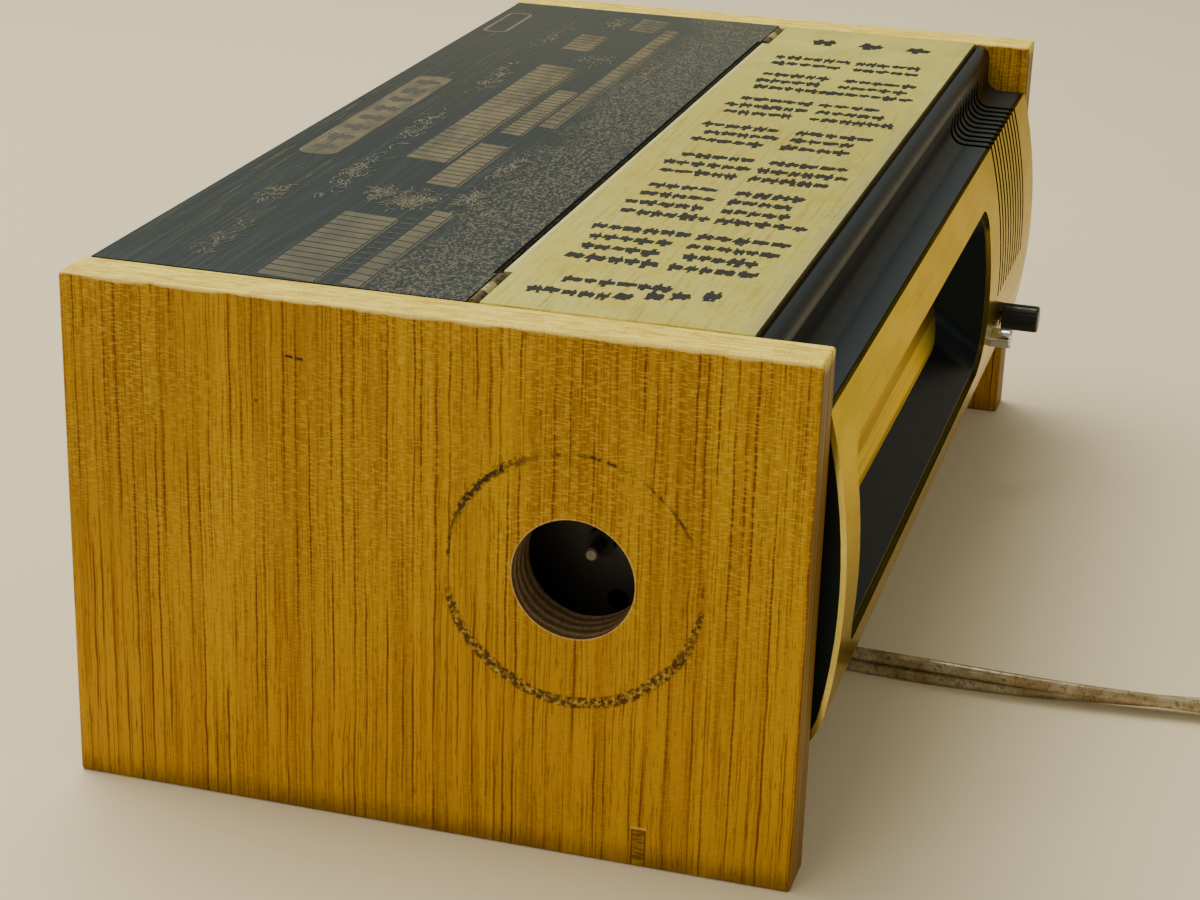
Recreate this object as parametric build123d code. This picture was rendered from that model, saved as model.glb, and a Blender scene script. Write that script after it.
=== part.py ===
"""Tabletop radio: a low mains set between two wooden end boards that act as its legs.

All sizes are in millimetres. X runs along the radio from its left end (the one with the
tuning hole) to its right end, Y runs from front to back, and Z is up from the table.
The origin is at the middle of the footprint, knob included. Depths are measured back from
the front edges of the end boards, and back(depth) turns one into a Y value.
"""
import math
import os

from build123d import *

# ---------------------------------------------------------------- driving dimensions
LENGTH = 315.0                 # over both end boards
DEPTH = 160.0                  # of an end board, front to back
HEIGHT = 115.0                 # of an end board, table to top
BOARD = 12.0                   # thickness of an end board
KNOB_REACH = 15.0              # how far the volume knob stands out of the end boards
FRONT_Y = (KNOB_REACH - DEPTH) / 2.0
INNER_X = LENGTH / 2.0 - BOARD         # inner face of the right end board
UNDERSIDE = 27.0               # gap under the body
FLOOR_Z = 31.0                 # top of the bottom board

TUNE_DEPTH = 48.3              # tuning axis, back from the front edges
TUNE_Z = 63.0
HOLE_R = 13.0                  # hole in the left end board round the tuning spindle

PLATE = 1.2                    # sheet metal of the face, the lid and the rear top
TOP_BOARD = 6.0                # board under the lid plate and under the rear plate
HINGE_DEPTH, HINGE_Z = 74.6, 114.2     # axis of the lid's hinges
SEAM_DEPTH = HINGE_DEPTH + 1.35        # front edge of the rear plate and its board
LID_FRONT = 16.3               # front edge of the lid
REAR_EDGE = 158.5              # back edge of the rear plate
UNDER_TOP = HEIGHT - PLATE - TOP_BOARD # underside of the boards of the top
TRAY_RIM = UNDER_TOP - 0.3
BACK_DEPTH = 155.0             # inside of the back cover
BATTEN = 8.0                   # strips glued inside the end boards
BATTEN_X = INNER_X - BATTEN / 2
BOTTOM_SCREW_DEPTHS = (25.0, 82.0, 138.0)
BACK_SCREW_HEIGHTS = (40.0, 68.0, 96.0)
VENT_ROWS, VENT_COLUMNS = 5, 9

FACE_R = 142.0                 # radius of the bulging face, seen from the end
FACE_MID_Z = 62.5              # height where the face stands furthest out
FACE_BULGE = 5.1               # how far it stands out of the end boards there
FACE_TOP = 101.5
FACE_TURN_Z = 36.0             # below this the face curls under
CURL_R = 20.0
CURL_END = 36.0                # degrees below horizontal where the curl stops
SKIN = PLATE + 0.05            # from the face's outside to the moulding under it
WALL = 2.5                     # wall of the front moulding
LEDGE_DROP = 0.1               # the moulding's ledge lies this far under the face's top edge

WINDOW_X = -37.0               # middle of the dial window
WINDOW_Z = 67.1
WINDOW_LONG = 188.0
WINDOW_TALL = 46.2
WINDOW_R = 7.0
GLASS_LONG = 174.0             # clear opening at the bottom of the recess
GLASS_TALL = 30.2
GLASS_R = 10.0
GLASS_LEAN = 12.0              # degrees that the dial leans back
GLASS_LOW = (7.0, 53.5)        # depth and height of the opening's lower edge

GROOVES = 10
GROOVE_PITCH = 5.2
GROOVE_FIRST_X = 75.8
GROOVE_WIDE = 2.3
GROOVE_DEEP = 1.6
GROOVE_LOW_Z = 59.5

KNOB_X, KNOB_Z, KNOB_R, KNOB_LONG = 96.0, 47.5, 3.8, 10.3
BUTTON_X, BUTTON_Z, BUTTON_R, BUTTON_LONG = 77.0, 47.0, 2.7, 5.6
BUTTON_TRAVEL = 2.5
POT_DEPTH, SWITCH_DEPTH = 4.2, 4.9     # fronts of the volume control and of the switch
BUSH_R = 3.3                   # threaded bush of the volume control

HINGE_LONG = 19.0
KNUCKLE_R = 1.2
HINGE_PIN_R = 0.55
LEAF = 0.6
LEAF_TALL = 6.0
LEAF_SEAT = 1.35               # from the hinge axis to the wood that a leaf is screwed to
HINGE_SCREW_STEP = 3.1         # a screw's place from either end of a leaf
HINGE_SCREW_Z = HINGE_Z - 3.6

TRAY_FRONT, TRAY_BACK = 17.2, 72.4
TRAY_WALL = 1.6

PULLEY_R = 7.5                 # to the middle of the dial cord
DIAL_CORD_R = 0.35
STRING_DEPTH = 24.0            # where the dial cord runs along the radio
SPINDLE_R = 1.5
SPINDLE_TIP_X = 13.2 - LENGTH / 2.0    # its tip, just inside the left board
SPINDLE_END_X = 39.0 - LENGTH / 2.0
BRACKET_X = 22.0 - LENGTH / 2.0        # sheet that carries the spindle's bush
SPINDLE_X = 31.0 - LENGTH / 2.0        # plane of the spindle's own pulley
DRIVE_X = 36.0 - LENGTH / 2.0          # slow-motion drive
END_X = 64.5                   # wheel at the far end of the dial cord
RAIL_Z, RAIL_R = 50.2, 1.25    # rod that the pointer slides on
POINTER_X = -56.0              # where the pointer stands at rest
CAPACITOR_X = -111.5           # left cheek of the tuning capacitor
CAPACITOR_LONG = 32.0
CAPACITOR_FRONT, CAPACITOR_BACK = 39.0, 66.0
CAPACITOR_TOP = 80.0
CHEEK = 1.5                    # sheet of the capacitor's frame
ROTOR_R = 2.0
VANES, VANE_PITCH, VANE = 8, 3.2, 0.6

SPEAKER_X, SPEAKER_DEPTH, SPEAKER_R = 36.0, 112.0, 38.5
TRANSFORMER_X, TRANSFORMER_DEPTH = 106.0, 122.0
BOARD_X0, BOARD_X1 = -128.0, -18.0     # circuit board
BOARD_D0, BOARD_D1 = 92.0, 146.0
BOARD_Z, BOARD_TOP = 40.0, 41.6
ROD_Z, ROD_DEPTH, ROD_R = 88.0, 138.0, 4.5     # aerial rod

CORD_R = 3.1                   # twin flex, 6.2 wide, drawn as a round lead
GLAND_X, GLAND_DEPTH = -52.0, 82.0     # where the lead goes through the bottom board
GLAND_LEAN = 45.0              # degrees that it leans forward there
SLEEVE_LONG = 18.0             # from the middle of the bottom board to the sleeve's tip
COIL_MEAN_R = 35.0
COIL_X, COIL_Y = -7.0, -200.0
COIL_WIDE, COIL_TALL = 18.6, 12.4      # three turns beside each other, two high
TAIL_ANGLE = -40.0             # where the last turn leaves the coil, in degrees
PLUG_START = 30.0              # from there to the neck of the plug
TAIL_HIDDEN = 8.0              # of the lead that still lies in the coil there

GAP = 0.3                      # left between pieces that move past each other
FIT = 0.05                     # radial clearance of a running fit
SCREW_SLOT = 0.7               # wide and deep


# ---------------------------------------------------------------- helpers
def back(depth):
    """Y of a place that lies depth behind the front edges of the end boards."""
    return FRONT_Y + depth


def block(x0, x1, d0, d1, z0, z1):
    """A box given by its limits along the radio, in depth and in height."""
    middle = Pos((x0 + x1) / 2, (back(d0) + back(d1)) / 2, (z0 + z1) / 2)
    return middle * Box(x1 - x0, d1 - d0, z1 - z0)


def rod_x(x0, x1, depth, z, r):
    """A round bar along X."""
    return Pos((x0 + x1) / 2, back(depth), z) * Rot(0, 90, 0) * Cylinder(r, x1 - x0)


def rod_y(x, d0, d1, z, r):
    """A round bar along Y."""
    return Pos(x, (back(d0) + back(d1)) / 2, z) * Rot(90, 0, 0) * Cylinder(r, d1 - d0)


def rod_z(x, depth, z0, z1, r):
    """An upright round bar."""
    return Pos(x, back(depth), (z0 + z1) / 2) * Cylinder(r, z1 - z0)


def slab_x(section, x0, x1):
    """Push a section drawn in depth and height along the radio from x0 to x1."""
    return extrude(Plane.YZ.offset(x0) * section, amount=x1 - x0)


def screw_down(x, depth, z_seat, shank, r_head=2.6, r_shank=1.3, head=1.8):
    """A pan head screw driven downwards, its head resting at z_seat."""
    top = rod_z(x, depth, z_seat, z_seat + head, r_head)
    top = fillet(top.edges().group_by(Axis.Z)[-1], head * 0.45)
    half, crown = SCREW_SLOT / 2, z_seat + head
    slot = block(x - r_head, x + r_head, depth - half, depth + half, crown - SCREW_SLOT, crown)
    return top - slot + rod_z(x, depth, z_seat - shank, z_seat, r_shank)


def screw_up(x, depth, z_seat, shank, r_head=2.6, r_shank=1.3, head=1.8):
    """A pan head screw driven upwards, its head resting at z_seat."""
    top = rod_z(x, depth, z_seat - head, z_seat, r_head)
    top = fillet(top.edges().group_by(Axis.Z)[0], head * 0.45)
    half, crown = SCREW_SLOT / 2, z_seat - head
    slot = block(x - r_head, x + r_head, depth - half, depth + half, crown, crown + SCREW_SLOT)
    return top - slot + rod_z(x, depth, z_seat, z_seat + shank, r_shank)


def screw_forward(x, d_seat, z, shank, r_head=2.6, r_shank=1.3, head=1.8):
    """A pan head screw driven towards the front, its head resting at d_seat."""
    top = rod_y(x, d_seat, d_seat + head, z, r_head)
    top = fillet(top.edges().group_by(Axis.Y)[-1], head * 0.45)
    half, crown = SCREW_SLOT / 2, d_seat + head
    slot = block(x - r_head, x + r_head, crown - SCREW_SLOT, crown, z - half, z + half)
    return top - slot + rod_y(x, d_seat - shank, d_seat, z, r_shank)


# ---------------------------------------------------------------- end boards
def end_board(side):
    """One wooden end board; side is -1 on the left and 1 on the right."""
    x0 = side * (INNER_X + BOARD / 2) - BOARD / 2
    board = block(x0, x0 + BOARD, 0, DEPTH, 0, HEIGHT)
    return fillet(board.edges(), 0.8)


def left_end_panel():
    """The left board, with the round hole that the tuning knob covered."""
    hole = rod_x(-LENGTH, 0, TUNE_DEPTH, TUNE_Z, HOLE_R)
    return end_board(-1) - hole


# ---------------------------------------------------------------- front moulding and face
def face_arcs(inset):
    """The two arcs of the face's end profile, moved back into the radio by inset."""
    middle = (back(FACE_R - FACE_BULGE), FACE_MID_Z)
    r = FACE_R - inset
    start = 180 - math.degrees(math.asin((FACE_TOP - LEDGE_DROP - FACE_MID_Z - inset * 0.28) / r))
    turn = 180 + math.degrees(math.asin((FACE_MID_Z - FACE_TURN_Z) / FACE_R))
    main = CenterArc(middle, r, start, turn - start)
    step = FACE_R - CURL_R
    towards = (math.cos(math.radians(turn)), math.sin(math.radians(turn)))
    curl_middle = (middle[0] + step * towards[0], middle[1] + step * towards[1])
    curl = CenterArc(curl_middle, CURL_R - inset, turn, 180 + CURL_END - turn)
    return main, curl


def face_sheet_section():
    """End profile of the face plate: a strip of even thickness."""
    outer, outer_curl = face_arcs(0.0)
    inner, inner_curl = face_arcs(PLATE)
    edges = [outer, outer_curl, inner, inner_curl]
    edges.append(Line(outer @ 0, inner @ 0))
    edges.append(Line(outer_curl @ 1, inner_curl @ 1))
    return make_face(edges)


def moulding_section(inset):
    """End profile of the front moulding with every outer face moved in by inset."""
    roll_r = 4.4 - inset
    roll_depth, roll_z = 16.0, HEIGHT - 4.6
    wall_depth = roll_depth - roll_r
    rear = 14.8
    ledge_z = FACE_TOP - LEDGE_DROP - inset
    main, curl = face_arcs(SKIN + inset)
    front_top = main @ 0
    bottom_z = (curl @ 1).Y
    rear_on_roll = roll_z + math.sqrt(roll_r ** 2 - (roll_depth - rear) ** 2)
    on_roll = math.radians(35)
    shoulder = (back(roll_depth - roll_r * math.cos(on_roll)), roll_z + roll_r * math.sin(on_roll))
    roll = ThreePointArc((back(rear), rear_on_roll), shoulder, (back(wall_depth), roll_z))
    hollow_r = 4.0 + inset
    hollow = CenterArc((back(wall_depth - hollow_r), ledge_z + hollow_r), hollow_r, 0, -90)
    edges = [main, curl, roll, hollow]
    edges.append(Line(curl @ 1, (back(rear), bottom_z)))
    edges.append(Line((back(rear), bottom_z), (back(rear), rear_on_roll)))
    edges.append(Line((back(wall_depth), roll_z), hollow @ 0))
    edges.append(Line(hollow @ 1, (front_top.X, ledge_z)))
    edges.append(Line((front_top.X, ledge_z), front_top))
    return make_face(edges)


def recess(spread):
    """The funnel from the window down to the dial; spread makes it that much bigger all round."""
    front = Plane(origin=(WINDOW_X, back(-6.0), WINDOW_Z), x_dir=(1, 0, 0), z_dir=(0, 1, 0))
    mouth = RectangleRounded(WINDOW_LONG + 2 * spread, WINDOW_TALL + 2 * spread, WINDOW_R + spread)
    floor = RectangleRounded(GLASS_LONG + 2 * spread, GLASS_TALL + 2 * spread, GLASS_R + spread)
    return loft([front * mouth, dial_plane(0.0) * floor], ruled=True)


def dial_plane(behind):
    """The leaning plane of the dial, the given distance behind the recess, centred on it."""
    lean = math.radians(GLASS_LEAN)
    half = GLASS_TALL / 2
    depth = GLASS_LOW[0] + half * math.sin(lean) + behind * math.cos(lean)
    z = GLASS_LOW[1] + half * math.cos(lean) - behind * math.sin(lean)
    normal = (0, math.cos(lean), -math.sin(lean))
    return Plane(origin=(WINDOW_X, back(depth), z), x_dir=(1, 0, 0), z_dir=normal)


def grooves():
    """The row of grooves that run from the hollow over the ledge and down the face."""
    reach = block(-INNER_X, INNER_X, -8.0, 12.9, GROOVE_LOW_Z, HEIGHT - 6.5)
    cuts = []
    for i in range(GROOVES):
        x = GROOVE_FIRST_X + i * GROOVE_PITCH
        outer = slab_x(moulding_section(-1.0), x - GROOVE_WIDE / 2, x + GROOVE_WIDE / 2)
        inner = slab_x(moulding_section(GROOVE_DEEP), x - GROOVE_WIDE / 2, x + GROOVE_WIDE / 2)
        cuts.append((outer - inner) & reach)
    return cuts


def front_moulding():
    """The black plastic moulding: rolled rear edge, hollow, ledge, face backing and recess."""
    whole = slab_x(moulding_section(0.0), -INNER_X, INNER_X)
    hollow = slab_x(moulding_section(WALL), -INNER_X + WALL, INNER_X - WALL)
    room = block(-INNER_X, INNER_X, -8.0, 14.8 - GAP, FLOOR_Z + 0.6, FACE_TOP - LEDGE_DROP - 3.0)
    end = INNER_X - WALL
    behind = block(-end, end, 8.0, 20.0, FLOOR_Z + 0.6, FACE_TOP - LEDGE_DROP - 3.0)
    shell = whole - (hollow & room) - behind
    funnel = recess(2.2) & slab_x(moulding_section(0.0), -INNER_X, INNER_X)
    body = shell + funnel - recess(0.0)
    for cut in grooves():
        body -= cut
    body += rod_y(KNOB_X, -2.0, POT_DEPTH, KNOB_Z, 7.0)
    body += rod_y(BUTTON_X, -2.0, SWITCH_DEPTH, BUTTON_Z, 5.5)
    body -= rod_y(KNOB_X, -9, 9, KNOB_Z, BUSH_R + 0.1)
    body -= rod_y(BUTTON_X, -9, 9, BUTTON_Z, BUTTON_R + GAP)
    return body - block(-INNER_X - 1, INNER_X + 1, 8.0, 20.0, UNDERSIDE - 3.0, FLOOR_Z + 0.6)


def face_plate():
    """The bulging champagne-coloured sheet with its window, comb of slots and two holes."""
    sheet = slab_x(face_sheet_section(), -INNER_X + 0.1, INNER_X - 0.1)
    front = Plane(origin=(WINDOW_X, back(-9.0), WINDOW_Z), x_dir=(1, 0, 0), z_dir=(0, 1, 0))
    sheet -= extrude(front * RectangleRounded(WINDOW_LONG, WINDOW_TALL, WINDOW_R), amount=16)
    for i in range(GROOVES):
        x = GROOVE_FIRST_X + i * GROOVE_PITCH
        sheet -= block(x - GROOVE_WIDE / 2, x + GROOVE_WIDE / 2, -9, 9, GROOVE_LOW_Z, FACE_TOP + 5)
    sheet -= rod_y(KNOB_X, -9, 9, KNOB_Z, BUSH_R + 0.1)
    return sheet - rod_y(BUTTON_X, -9, 9, BUTTON_Z, BUTTON_R + GAP)


# ---------------------------------------------------------------- body boards and top
def bottom_board():
    """The board under the works, with the speaker's holes and the hole for the mains lead."""
    board = block(-INNER_X, INNER_X, 8.2, BACK_DEPTH, UNDERSIDE, FLOOR_Z)
    for ring, count in ((0.0, 1), (9.0, 6), (18.0, 12), (27.0, 18)):
        for i in range(count):
            turn = 2 * math.pi * i / count
            x = SPEAKER_X + ring * math.cos(turn)
            depth = SPEAKER_DEPTH + ring * math.sin(turn)
            board -= rod_z(x, depth, 0, 60, 2.6)
    board -= gland_frame() * Cylinder(5.25, 40)
    for x, depth in bottom_screw_places():
        board -= rod_z(x, depth, 0, 60, 1.4)
    for x, depth in speaker_screw_places() + transformer_screw_places():
        board -= rod_z(x, depth, UNDERSIDE + 0.5, 60, 1.4)
    return board


def bottom_screw_places():
    """Where the bottom board is screwed to its two battens."""
    return [(side * BATTEN_X, depth) for side in (-1, 1) for depth in BOTTOM_SCREW_DEPTHS]


def battens():
    """Wooden strips glued inside the end boards, for the bottom, the back cover and the tray."""
    pieces = []
    for side in (-1, 1):
        x0, x1 = side * BATTEN_X - BATTEN / 2, side * BATTEN_X + BATTEN / 2
        low = block(x0, x1, 18.0, 148.0, FLOOR_Z, FLOOR_Z + BATTEN)
        for depth in BOTTOM_SCREW_DEPTHS:
            low -= rod_z(side * BATTEN_X, depth, 0, 60, 1.3)
        rear = block(x0, x1, 148.5, BACK_DEPTH, FLOOR_Z, UNDER_TOP)
        for z in BACK_SCREW_HEIGHTS:
            rear -= rod_y(side * BATTEN_X, 140, 170, z, 1.3)
        rest_x = side * (INNER_X - 2.4)
        rest = block(rest_x - 2.4, rest_x + 2.4, 20.0, 72.0, 86.0, TRAY_RIM - TRAY_WALL)
        pieces += [low, rear, rest]
    return pieces


def back_cover():
    """Thin hardboard back with rows of vent slots."""
    end = INNER_X - 0.2
    cover = block(-end, end, BACK_DEPTH, BACK_DEPTH + 3.0, UNDERSIDE, UNDER_TOP - 0.2)
    for row in range(VENT_ROWS):
        for column in range(VENT_COLUMNS):
            x = (column - (VENT_COLUMNS - 1) / 2) * 24.0
            z = 50.0 + row * 9.0
            cover -= block(x - 8.0, x + 8.0, 150, 165, z - 1.5, z + 1.5)
    for side in (-1, 1):
        for z in BACK_SCREW_HEIGHTS:
            cover -= rod_y(side * BATTEN_X, 150, 165, z, 1.4)
    return cover


def rear_top_board():
    """The wooden board that carries the dark etched plate."""
    board = block(-INNER_X, INNER_X, SEAM_DEPTH, REAR_EDGE, UNDER_TOP, HEIGHT - PLATE)
    for x in hinge_screw_places():
        board -= rod_y(x, SEAM_DEPTH - 1, SEAM_DEPTH + 6.2, HINGE_SCREW_Z, 0.55)
    return board


def rear_top_plate():
    """The dark etched metal sheet on the rear of the top."""
    return block(-INNER_X + 0.2, INNER_X - 0.2, SEAM_DEPTH, REAR_EDGE, HEIGHT - PLATE, HEIGHT)


# ---------------------------------------------------------------- lid and its hinges
def hinge_left_ends():
    """Left end of each of the two hinges."""
    return (-INNER_X + 0.6, INNER_X - 6.0 - HINGE_LONG)


def hinge_screw_places():
    """X of every screw through the hinge leaves."""
    return [start + step for start in hinge_left_ends() for step in hinge_screw_steps()]


def hinge_screw_steps():
    """Where the screws are along one hinge."""
    return (HINGE_SCREW_STEP, HINGE_LONG - HINGE_SCREW_STEP)


def lid_plate():
    """The brass-coloured sheet on the lid, notched round both hinges."""
    sheet = block(-INNER_X + 0.5, INNER_X - 0.5, LID_FRONT, HINGE_DEPTH + 0.4, HEIGHT - PLATE, HEIGHT)
    for start in hinge_left_ends():
        sheet -= block(start - 2, start + HINGE_LONG + 2.5, HINGE_DEPTH - 1.6, 80, 100, 120)
    return sheet


def lid_board():
    """The wooden board under the lid's sheet."""
    end = INNER_X - 0.7
    board = block(-end, end, LID_FRONT + 0.2, HINGE_DEPTH - LEAF_SEAT, UNDER_TOP, HEIGHT - PLATE)
    board = fillet(board.edges().filter_by(Axis.X).group_by(Axis.Z)[0], 1.0)
    for x in hinge_screw_places():
        board -= rod_y(x, HINGE_DEPTH - 7.6, HINGE_DEPTH, HINGE_SCREW_Z, 0.55)
    return board


def leaf(start, moving):
    """One leaf with its knuckles: the outer two stay on the body, the middle one moves."""
    side = -1 if moving else 1
    outer = HINGE_DEPTH + side * LEAF_SEAT
    inner = HINGE_DEPTH + side * (LEAF_SEAT - LEAF)
    front, rear = sorted((outer, inner))
    sheet = block(start, start + HINGE_LONG, front, rear, HINGE_Z - LEAF_TALL, HINGE_Z)
    third = HINGE_LONG / 3
    spans = [(0.0, third), (2 * third, HINGE_LONG)]
    other = [(third, 2 * third)]
    if moving:
        spans, other = other, spans
    room, trim = 0.15, 0.08
    for low, high in other:
        x0, x1 = start + low - room, start + high + room
        sheet -= rod_x(x0, x1, HINGE_DEPTH, HINGE_Z, KNUCKLE_R + room)
    for low, high in spans:
        x0 = start + low + (trim if low > 0 else 0.0)
        x1 = start + high - (trim if high < HINGE_LONG else 0.0)
        sheet += rod_x(x0, x1, HINGE_DEPTH, HINGE_Z, KNUCKLE_R)
    sheet -= rod_x(start - 1, start + HINGE_LONG + 1, HINGE_DEPTH, HINGE_Z, HINGE_PIN_R + FIT)
    for step in hinge_screw_steps():
        sheet -= rod_y(start + step, HINGE_DEPTH - 3, HINGE_DEPTH + 3, HINGE_SCREW_Z, 0.6)
    return sheet


def hinge_pins():
    """The pins that the knuckles turn on."""
    ends = [(start + 0.1, start + HINGE_LONG - 0.1) for start in hinge_left_ends()]
    return [rod_x(low, high, HINGE_DEPTH, HINGE_Z, HINGE_PIN_R) for low, high in ends]


def hinge_screws(moving):
    """The small screws of one set of leaves, heads in the seam."""
    side = -1 if moving else 1
    seat = HINGE_DEPTH + side * (LEAF_SEAT - LEAF)
    crown, tip = seat - side * 0.3, seat + side * 5.6
    screws = []
    for x in hinge_screw_places():
        head = rod_y(x, min(seat, crown), max(seat, crown), HINGE_SCREW_Z, 1.1)
        screws.append(head + rod_y(x, min(seat, tip), max(seat, tip), HINGE_SCREW_Z, 0.5))
    return screws


def tray():
    """The shallow box under the lid, hung by its rim on the strips at its ends."""
    end, low = INNER_X - 5.0, 84.0
    outer = block(-end, end, TRAY_FRONT, TRAY_BACK, low, TRAY_RIM)
    rim = block(-INNER_X + 0.2, INNER_X - 0.2, TRAY_FRONT, TRAY_BACK, TRAY_RIM - TRAY_WALL, TRAY_RIM)
    front, rear = TRAY_FRONT + TRAY_WALL, TRAY_BACK - TRAY_WALL
    inner = block(-end + TRAY_WALL, end - TRAY_WALL, front, rear, low + TRAY_WALL, 120)
    inner = fillet(inner.edges().filter_by(Axis.Z), 3.0)
    return outer + rim - inner


# ---------------------------------------------------------------- dial
def dial_glass():
    """Clear sheet across the bottom of the recess."""
    shape = RectangleRounded(GLASS_LONG + 3.2, GLASS_TALL + 3.2, GLASS_R)
    return extrude(dial_plane(0.0) * shape, amount=2.0)


def dial_scale():
    """The dial card: a metal sheet held well behind the glass."""
    shape = RectangleRounded(GLASS_LONG + 3.0, GLASS_TALL - 2.6, 3.0)
    return extrude(dial_plane(9.0) * shape, amount=1.0)


def dial_pointer():
    """The needle in front of the card, the arm under the card and the slider on the rail."""
    middle = dial_plane(5.5).origin
    plane = Plane(origin=(POINTER_X, middle.Y, middle.Z), x_dir=(1, 0, 0), z_dir=dial_plane(0.0).z_dir)
    half = (GLASS_TALL + 1.0) / 2
    needle = extrude(plane * Rectangle(1.0, 2 * half), amount=0.8)
    foot = middle.Y - FRONT_Y - half * math.sin(math.radians(GLASS_LEAN))
    low, rear = RAIL_Z - 2.8, STRING_DEPTH + 3.4
    x0, x1 = POINTER_X - 1.0, POINTER_X + 1.0
    pointer = needle + block(x0, x1, foot - 0.4, rear, low, low + 1.6)
    pointer += block(x0, x1, foot - 0.4, foot + 0.7, low, low + 6.0)
    pointer += block(POINTER_X - 6.0, POINTER_X + 6.0, STRING_DEPTH - 2.6, rear, low, low + 5.6)
    pointer += block(x0 - 1.0, x1 + 1.0, rear - 1.0, rear, low + 4.0, TUNE_Z + 10.0)
    pointer += block(x0 - 1.0, x1 + 1.0, STRING_DEPTH - 1.6, rear, TUNE_Z + 8.2, TUNE_Z + 10.0)
    return pointer - rod_x(POINTER_X - 9, POINTER_X + 9, STRING_DEPTH, RAIL_Z, RAIL_R + FIT)


def pointer_rail():
    """The rod that the pointer slides on."""
    return rod_x(-98.0, 52.0, STRING_DEPTH, RAIL_Z, RAIL_R)


def dial_chassis():
    """Sheet metal frame behind the dial: lugs for the card and the rail, stud for the far wheel."""
    frame = block(-97.0, 73.0, 30.0, 31.2, FLOOR_Z, 80.0)
    frame += block(-97.0, 73.0, 30.0, 38.0, FLOOR_Z, FLOOR_Z + 1.2)
    for x in (-96.0, 50.0):
        ear = block(x - 0.6, x + 0.6, 20.5, 31.0, 44.0, 53.2)
        frame += ear - rod_x(x - 2, x + 2, STRING_DEPTH, RAIL_Z, RAIL_R)
        frame += block(x - 0.6, x + 0.6, 23.0, 31.0, 74.0, 80.0)
    for x in (-60.0, -10.0, 36.0):
        frame -= rod_y(x, 25, 35, 58.0, 8.0)
    frame += rod_y(END_X, STRING_DEPTH - 3.0, 31.2, TUNE_Z, 1.5)
    frame += rod_y(END_X, STRING_DEPTH - 3.0, STRING_DEPTH - 1.6, TUNE_Z, 3.0)
    return frame + rod_y(END_X, STRING_DEPTH + 1.6, 31.0, TUNE_Z, 3.0)


def pulley(bore_r):
    """A small grooved wheel lying flat at the origin."""
    wheel = Cylinder(PULLEY_R + 1.0, 3.0)
    groove = Cylinder(PULLEY_R + 2.0, 1.2) - Cylinder(PULLEY_R - DIAL_CORD_R - GAP, 1.2)
    return wheel - groove - Cylinder(bore_r, 5)


def corner_pulley(z):
    """A wheel on the upright pin, at the height of one run of the dial cord."""
    middle = Pos(SPINDLE_X + PULLEY_R, back(STRING_DEPTH + PULLEY_R), z)
    return middle * pulley(1.25 + FIT)


def corner_pin():
    """Upright pin of the two corner wheels, with collars that keep them at their heights."""
    x, depth = SPINDLE_X + PULLEY_R, STRING_DEPTH + PULLEY_R
    pin = rod_z(x, depth, FLOOR_Z, 75.0, 1.25)
    pin += rod_z(x, depth, FLOOR_Z, TUNE_Z - PULLEY_R - 1.6, 2.6)
    pin += rod_z(x, depth, TUNE_Z - PULLEY_R + 1.6, TUNE_Z + PULLEY_R - 1.6, 2.6)
    return pin + rod_z(x, depth, TUNE_Z + PULLEY_R + 1.6, 75.0, 2.4)


def end_pulley():
    """The wheel at the far end of the dial cord."""
    middle = Pos(END_X, back(STRING_DEPTH), TUNE_Z) * Rot(90, 0, 0)
    return middle * pulley(1.5 + FIT)


def dial_cord():
    """The thin cord that joins the spindle, the corner wheels and the far wheel."""
    top, low = TUNE_Z + PULLEY_R, TUNE_Z - PULLEY_R
    near_y, turn_y = back(TUNE_DEPTH), back(STRING_DEPTH + PULLEY_R)
    run_y = back(STRING_DEPTH)
    corner_x = SPINDLE_X + PULLEY_R
    middle = math.sqrt(0.5) * PULLEY_R
    parts = []
    for z, side in ((top, 1), (low, -1)):
        inward = Line((SPINDLE_X, near_y, z), (SPINDLE_X, turn_y, z))
        bend = ThreePointArc(
            (SPINDLE_X, turn_y, z), (corner_x - middle, turn_y - middle, z), (corner_x, run_y, z)
        )
        along = Line((corner_x, run_y, z), (END_X, run_y, z))
        parts.append(tube([inward, bend, along], DIAL_CORD_R))
    far = ThreePointArc(
        (END_X, run_y, top), (END_X + PULLEY_R, run_y, TUNE_Z), (END_X, run_y, low)
    )
    near = ThreePointArc(
        (SPINDLE_X, near_y, top), (SPINDLE_X, near_y + PULLEY_R, TUNE_Z), (SPINDLE_X, near_y, low)
    )
    parts.append(tube([far], DIAL_CORD_R))
    parts.append(tube([near], DIAL_CORD_R))
    return parts


def tube(edges, r):
    """A round bar along a smooth chain of edges."""
    path = Wire(edges)
    start = Plane(origin=path @ 0, z_dir=path % 0)
    return sweep(start * Circle(r), path=path)


# ---------------------------------------------------------------- tuning
def tuning_bracket():
    """Black sheet that stands just inside the left board and carries the spindle's bush."""
    x0, sheet_thick = BRACKET_X, 1.5
    sheet = block(x0, x0 + sheet_thick, 28.0, 70.0, FLOOR_Z, 80.0)
    sheet += block(x0, x0 + 12.0, 58.0, 70.0, FLOOR_Z, FLOOR_Z + sheet_thick)
    sheet -= rod_x(x0 - 2, x0 + 5, TUNE_DEPTH, TUNE_Z, 3.02)
    spare_hole = rod_x(x0 - 2, x0 + 5, 44.6, 49.8, 2.4)
    return sheet - spare_hole


def spindle_bush():
    """Brass bush pressed into the bracket."""
    x0 = BRACKET_X
    bush = rod_x(x0 - 2.0, x0 + 3.0, TUNE_DEPTH, TUNE_Z, 3.0)
    bush += rod_x(x0 + 1.5, x0 + 3.0, TUNE_DEPTH, TUNE_Z, 4.4)
    return bush - rod_x(x0 - 5, x0 + 6, TUNE_DEPTH, TUNE_Z, SPINDLE_R + FIT)


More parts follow.
